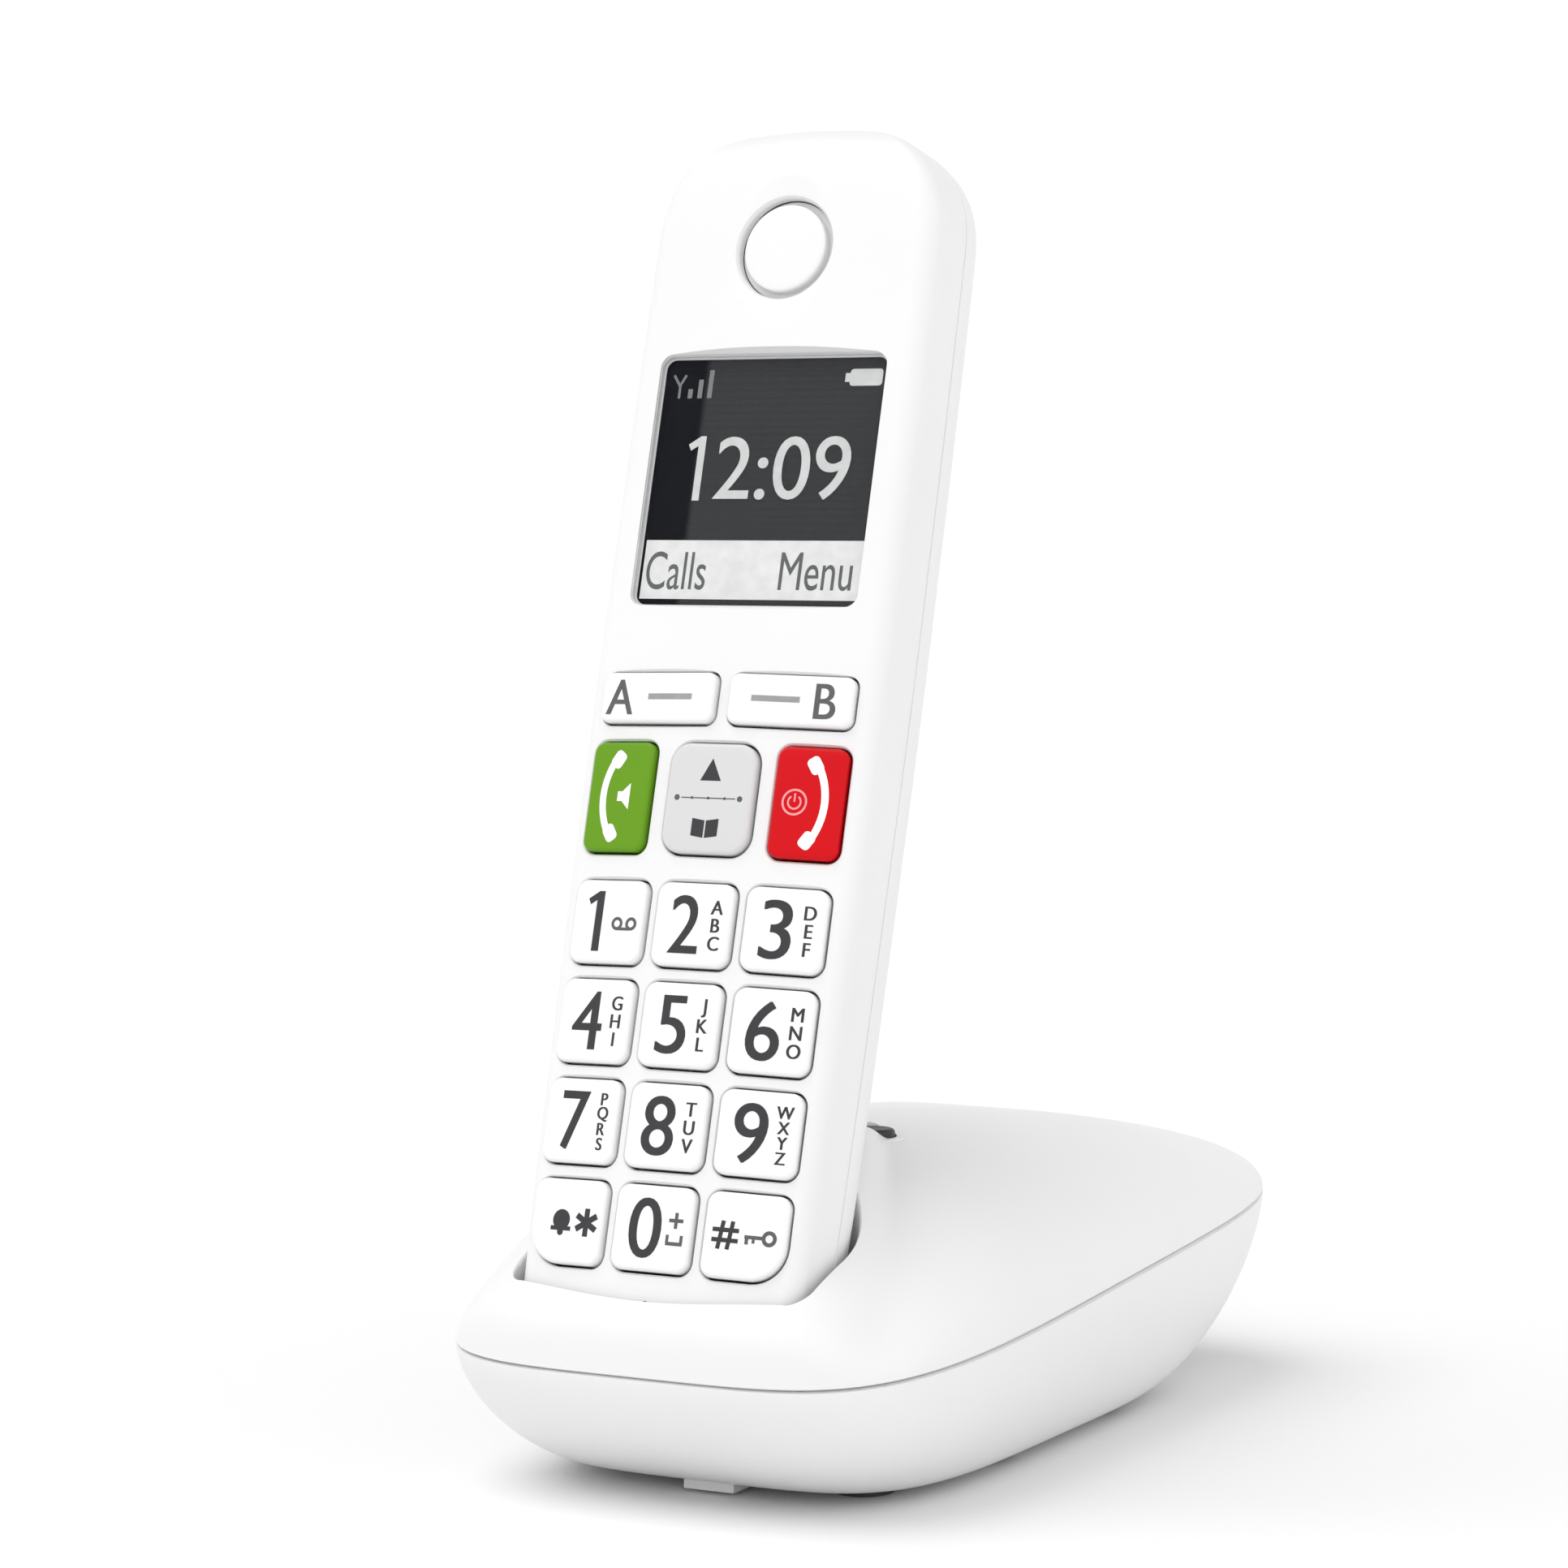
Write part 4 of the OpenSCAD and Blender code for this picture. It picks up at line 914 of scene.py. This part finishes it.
def earpiece():
    top = DISH_DEEP - 0.15
    edge = [(1.75, 0.9), (1.7, 0.85), (1.7, 0.1), (1.6, 0.02), (0.4, 0), (0.18, -0.05), (0.06, -0.18),
            (0.02, -0.4)]
    levels = [(2.3, 0.9)] + [(top + y, grow) for y, grow in edge] + [(top, -1.2)]
    cap = prism("earpiece_disc", circle(96, EAR_R - EAR_SLOT), levels, 0, EAR_Z, straight)
    cap.data.materials.append(finish["housing_white"])
    wear(cap, "handset", "earpiece_cap", "housing_white")


# -------------------- base shape
BX, BY = BASE_W / 2, BASE_D / 2


def seam_z(y):
    return SEAM_MID + SEAM_RISE * y


def ease(t):
    t = max(0.0, min(1.0, t))
    return t * t * (3 - 2 * t)


def crown(y):
    past = max(0.0, y - (CLIMB - BY) + 6)
    drop = FALL * (past - 6 if past > 12 else past * past / 24)
    return LIP + (CREST - LIP) * ease((y + BY) / CLIMB) - drop


def fullness(k):
    return 1.95 + 3 * ease((0.86 - abs(k[0])) / 0.3) * ease((-0.5 - k[1]) / 0.4)


def dome(u, k):
    p = fullness(k)
    return max(0.0, 1 - u ** p) ** (1 / p)


def outline_ring(n):
    out = []
    for i in range(n):
        a = 2 * math.pi * i / n
        c, s = math.cos(a), math.sin(a)
        out.append((math.copysign(abs(c) ** (2 / SQUARE), c), math.copysign(abs(s) ** (2 / SQUARE), s)))
    return out


def even_ring(n):
    """The outline's points spread evenly along its length."""
    fine = np.array(outline_ring(4096)) * [BX, BY]
    fine = np.vstack([fine, fine[:1]])
    run = np.concatenate([[0], np.cumsum(np.hypot(*np.diff(fine, axis=0).T))])
    want = np.linspace(0, run[-1], n + 1)[:-1]
    return list(zip(np.interp(want, run, fine[:, 0]) / BX, np.interp(want, run, fine[:, 1]) / BY))


def hull_in(t):
    return 1 - max(0.0, 1 - t ** 1.6) ** (1 / 1.6)


def hull_point(k, t, inset):
    h, floor = hull_in(t), LIFT + inset
    under = UNDER_FRONT if k[1] < 0 else UNDER_BACK
    x, y = k[0] * (BX - inset - UNDER_X * h), k[1] * (BY - inset * 1.2 - under * h)
    return (x, y, seam_z(y) * (1 - t) + floor * t)


def bowl(name, outer, inner, mid_outer, mid_inner):
    """A closed thin bowl from rings that start at its rim and end near its middle."""
    n, m = len(outer[0]), len(outer)
    points = [p for r in outer + inner for p in r] + [mid_outer, mid_inner]
    b = n * m
    faces = rings_to_faces(m, n) + rings_to_faces(len(inner), n, start=b)
    end_outer, end_inner = b - n, b + (len(inner) - 1) * n
    for i in range(n):
        j = (i + 1) % n
        faces += [(end_outer + i, end_outer + j, len(points) - 2),
                  (end_inner + j, end_inner + i, len(points) - 1), (i, j, b + j, b + i)]
    return solid(name, points, faces, upright, "housing_white", 40)


def pocket_ring(gap):
    w = half_w(30) + gap
    front = [(u * w, FRONT - (FRONT + gap) * v) for u, v in front_profile()]
    rear = [(u * w, FRONT + (REAR + gap) * v) for u, v in rear_profile(64)]
    return front + rear[::-1][1:-1]


def cradle_walls():
    rings = [[(x, y, z) for x, y in pocket_ring(POCKET_GAP + CRADLE_WALL)] for z in (-2.9, 67)]
    points, faces = loft(rings)
    return solid("tool", points, faces, lean_back)


def base_top_height(x, y):
    u = ((abs(x) / BX) ** SQUARE + (abs(y) / BY) ** SQUARE) ** (1 / SQUARE)
    k = (x / BX / u, y / BY / u) if u > 1e-6 else (0.0, 1.0)
    return seam_z(y) + (crown(y) - seam_z(y)) * dome(min(u, 1.0), k)


def dome_rings(ring, inset, climbs, turns):
    """Rings over the dome: first by their height above the parting line, then inwards to the middle."""
    rings = [[dome_point(k, climb, None, inset) for k in ring] for climb in climbs]
    return rings + [[dome_point(k, climbs[-1], turn, inset) for k in ring] for turn in turns]


def dome_point(k, climb, turn, inset):
    p = fullness(k)
    u = (1 - climb ** p) ** (1 / p)
    d = climb
    if turn is not None:
        u *= math.cos(turn)
        d = (1 - u ** p) ** (1 / p)
    x, y = k[0] * u * (BX - inset), k[1] * u * (BY - inset)
    return (x, y, seam_z(y) + (crown(y) - inset - seam_z(y)) * d)


CLIMBS = [0.0, 0.02, 0.05, 0.09, 0.14, 0.2, 0.27, 0.35, 0.43, 0.52, 0.6]
TURNS = list(np.linspace(0, 1.55, 64))[1:]


def section(grow, heights):
    """The handset's section, grown outwards: a point list, each with its own height."""
    out = []
    for (x, y), z in zip(pocket_ring(POCKET_GAP), heights):
        dx, dy = x, y - FRONT
        size = math.hypot(dx, dy)
        out.append((x + dx / size * grow, y + dy / size * grow, z))
    return out


def surface_heights(grow):
    """How high up the handset's axis the base's top is met, all round the pocket."""
    c, s = math.cos(LEAN), math.sin(LEAN)
    out = []
    for x, y, _ in section(grow, [0] * 1000):
        low, high = 0.0, 60.0
        for _ in range(30):
            mid = (low + high) / 2
            above = (mid * c - y * s + SEAT_Z) > base_top_height(x, y * c + mid * s + SEAT_Y)
            low, high = (low, mid) if above else (mid, high)
        out.append(high)
    return out


def pocket():
    """The room the handset stands in, its mouth rounded over where it meets the top."""
    top, r = surface_heights(0.0), 0.9
    n = len(top)
    levels = [section(0.0, [-0.9] * n)]
    for a in np.linspace(0, math.pi / 2 * 0.93, 7):
        levels.append(section(r * (1 - math.cos(a)), [z - r + r * math.sin(a) for z in top]))
    levels.append(section(r * 1.7, [z + 1.2 for z in top]))
    levels.append(section(r * 1.8, [90.0] * n))
    points, faces = loft(levels)
    return solid("tool", points, faces, lean_back)


def upright_bar(outline, z0, z1):
    points, faces = loft([[(a, b, z) for a, b in outline] for z in (z0, z1)])
    return solid("tool", points, faces)


def round_bar(x, y, z0, z1, r):
    return upright_bar(circle(40, r, x, y), z0, z1)


def box(x0, x1, y0, y1, z0, z1):
    return upright_bar([(x0, y0), (x1, y0), (x1, y1), (x0, y1)], z0, z1)


PAGE_X, PAGE_Y, PAGE_R = BX * 0.238, -BY + 54.6, 3.0
POSTS = [(BX * x, BY * y) for x, y in ((0.62, -0.2), (-0.62, -0.2), (0.62, 0.3), (-0.62, 0.3))]
FEET = [(BX * x, BY * y) for x, y in ((0.44, 0.43), (-0.44, 0.43), (0.44, -0.55), (-0.44, -0.55))]
JACK_Y = BY - 20
# the middle and the width of each socket's opening
JACKS = [(-13, 13.4), (13, 15.4)]
POST_R, SCREW_R, FOOT_R = 4.2, 2.9, 4.6


def eased_rim(ring, groove=BASE_GROOVE):
    """The rim drawn in, so that the parting line shows."""
    return [(x * (1 - groove / BX), y * (1 - groove / BY), z) for x, y, z in ring]


def base_top():
    ring = even_ring(OUTLINE_STEPS)
    outer = dome_rings(ring, 0, CLIMBS, TURNS)
    outer[0] = eased_rim(outer[0])
    inner = dome_rings(ring, SHELL, CLIMBS[::2], TURNS[::2])
    top = bowl("base_top", outer, inner, (0, 0, crown(0)), (0, 0, crown(0) - SHELL))
    # the cradle's own walls, up to the shell
    low = [(x, y, LIFT + 4) for x, y, _ in (hull_point(k, 0.8, SHELL + 0.6) for k in ring)]
    room = dome_rings(ring, SHELL / 2, CLIMBS[::2], TURNS[::2])
    room[0] = [(x * 0.96, y * 0.97, z) for x, y, z in room[0]]
    points, faces = loft([low] + room)
    room = solid("tool", points, faces)
    walls = cradle_walls()
    cut(walls, [room], "INTERSECT")
    cut(top, [walls], "UNION")
    page_top = base_top_height(PAGE_X, PAGE_Y)
    collar = round_bar(PAGE_X, PAGE_Y, page_top - 7, page_top - 1.4, PAGE_R + 1.6)
    cut(top, [collar], "UNION")
    page_hole = round_bar(PAGE_X, PAGE_Y, page_top - 12, page_top + 8, PAGE_R + 0.25)
    cut(top, [pocket(), page_hole], angle=30)
    return wear(top, "base", "base_top_shell", "housing_white")


def hull_rings(inset, levels):
    ring = even_ring(OUTLINE_STEPS)
    return [[hull_point(k, t, inset) for k in ring] for t in levels]


def base_bottom():
    levels = [0.0, 0.012, 0.03] + [1 - (1 - k) ** 1.6 for k in np.linspace(0.04, 1, 36)]
    outer = hull_rings(0, levels)
    outer = [[(x, y, z - 0.1 * (1 - t)) for x, y, z in r] for r, t in zip(outer, levels)]
    outer[0] = eased_rim(outer[0])
    inner = hull_rings(SHELL, levels[::2] + ([1.0] if levels[::2][-1] < 1 else []))
    under = bowl("base_bottom", outer, inner, (0, 0, LIFT), (0, 0, LIFT + SHELL))
    posts = [round_bar(x, y, LIFT + 0.5, LIFT + 12.2, POST_R) for x, y in POSTS]
    front = -BY + UNDER_FRONT
    tab = box(-4, 4, front - 2.4, front + 3.6, LIFT - 1, LIFT + 0.8)
    cut(under, [gather(posts + [tab])], "UNION")
    tools = [round_bar(x, y, LIFT - 1, LIFT + 2.4, SCREW_R) for x, y in POSTS]
    tools += [round_bar(x, y, LIFT - 1, LIFT + 0.7, FOOT_R) for x, y in FEET]
    for x, w in JACKS:
        tools.append(box(x - w / 2, x + w / 2, JACK_Y - 6, JACK_Y + 26, 7.25, 20.45))
    cut(under, [gather(tools)], angle=30)
    return wear(under, "base", "base_bottom_shell", "housing_white")


def paging_key():
    top = base_top_height(PAGE_X, PAGE_Y) - 0.2
    levels = [(-9.2, 4.2), (-7.8, 4.2), (-7.8, 3.0), (-0.6, 3.0), (-0.35, 2.93), (-0.14, 2.74), (-0.03, 2.4),
              (0.0, 1.9), (-0.12, 1.0), (-0.16, 0.3)]
    rings = [[(a, b, top + z) for a, b in circle(48, r, PAGE_X, PAGE_Y)] for z, r in levels]
    points, faces = loft(rings)
    cap = solid("paging_cap", points, faces, upright, "dark_plastic")
    return wear(cap, "paging_key", "paging_key", "dark_plastic")


# -------------------- the pieces kept from the frame
KEPT = {
    "battery_cell_left": "cell_sleeve", "battery_cell_right": "cell_sleeve",
    "battery_contacts": "spring_metal", "lcd_frame": "inner_white", "earpiece_gauze": "gauze",
    "earpiece_speaker": "dark_plastic", "handset_pcb": "circuit_board",
    "handset_antenna": "gold_metal", "keypad_mat": "silicone", "ringer_speaker": "dark_plastic",
    "microphone": "dark_plastic", "handset_charge_pads": "spring_metal",
    "handset_screws": "screw_steel", "charge_pin_left": "gold_metal",
    "charge_pin_right": "gold_metal", "pin_holder": "grey_plastic", "feet": "foot_rubber",
    "base_screws": "screw_steel", "base_pcb": "circuit_board", "base_rf_shield": "spring_metal",
    "base_antennas": "gold_metal", "pcb_pins": "grey_plastic", "power_jack": "dark_plastic",
    "line_jack": "grey_plastic", "jack_contacts": "gold_metal"}
EASED = ("power_jack", "line_jack", "feet", "handset_charge_pads", "pin_holder",
         "charge_pin_left", "charge_pin_right")


def dress_the_rest():
    for name, ink in KEPT.items():
        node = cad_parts[name]
        node.data.materials.clear()
        node.data.materials.append(finish[ink])
        if name in EASED:
            edge = node.modifiers.new("ease", "BEVEL")
            edge.width, edge.segments = 0.00025, 2
            edge.limit_method, edge.angle_limit = "ANGLE", math.radians(50)


# -------------------- the studio
class Room(Paint):
    """The shader of the room around the phone."""

    def __init__(self, name):
        self.world = bpy.data.worlds.new(name)
        self.world.use_nodes = True
        self.tree = self.world.node_tree
        self.shader = next(n for n in self.tree.nodes if n.type == "BACKGROUND")


def studio():
    scene = bpy.context.scene
    scene.view_settings.view_transform = "Standard"
    # white walls all round under a dimmer ceiling
    room = Room("studio")
    height = room.add("ShaderNodeTexCoord", {}, {}, "Generated").part("Z")
    room.set(Color=room.mix(height.between(0.25, 0.9), (1, 1, 1, 1), (0.42, 0.42, 0.42, 1)), Strength=1.01)
    scene.world = room.world
    mesh = bpy.data.meshes.new("floor")
    r = 6.0
    mesh.from_pydata([(-r, -r, 0), (r, -r, 0), (r, r, 0), (-r, r, 0)], [], [(0, 1, 2, 3)])
    floor = bpy.data.objects.new("floor", mesh)
    floor.location.z = -0.00005
    scene.collection.objects.link(floor)
    p = Paint("floor_paper")
    fibre = p.noise(600.0, 4.0)
    p.set(Base_Color=p.mix(fibre, (0.87, 0.87, 0.87, 1), (0.885, 0.885, 0.885, 1)),
          Roughness=fibre * 0.1 + 0.85, Specular_IOR_Level=0.2)
    p.bump(fibre, 0.000005)
    mesh.materials.append(p.material)
    lamp("key_light", (-0.45, -0.52, 1.3), 1.5, 52)
    lamp("fill_light", (1.1, -0.55, 0.6), 0.75, 90)


def lamp(name, where, strength, spread):
    """A wide soft light, a long way off in the direction given."""
    light = bpy.data.lights.new(name, "SUN")
    light.energy, light.angle = strength, math.radians(spread)
    obj = bpy.data.objects.new(name, light)
    obj.location = where
    obj.rotation_euler = (-Vector(where)).to_track_quat("-Z", "Y").to_euler()
    bpy.context.scene.collection.objects.link(obj)


def camera():
    data = bpy.data.cameras.new("camera")
    data.lens, data.sensor_width = 101.65, 36.0
    data.clip_start, data.clip_end = 0.05, 50.0
    cam = bpy.data.objects.new("camera", data)
    cam.location = (0.3001, -0.5967, 0.1399)
    turn, dip = math.radians(28.0), math.radians(3.62)
    ahead = Vector((-math.sin(turn) * math.cos(dip), math.cos(turn) * math.cos(dip), -math.sin(dip)))
    cam.rotation_euler = ahead.to_track_quat("-Z", "Y").to_euler()
    bpy.context.scene.collection.objects.link(cam)
    bpy.context.scene.camera = cam


# -------------------- everything together
front_shell()
rear_inside(rear_shell())
battery_cover()
for row in KEYS:
    key(*row)
digits()
signs()
call_marks()
display()
earpiece()
base_top()
base_bottom()
paging_key()
dress_the_rest()
studio()
camera()
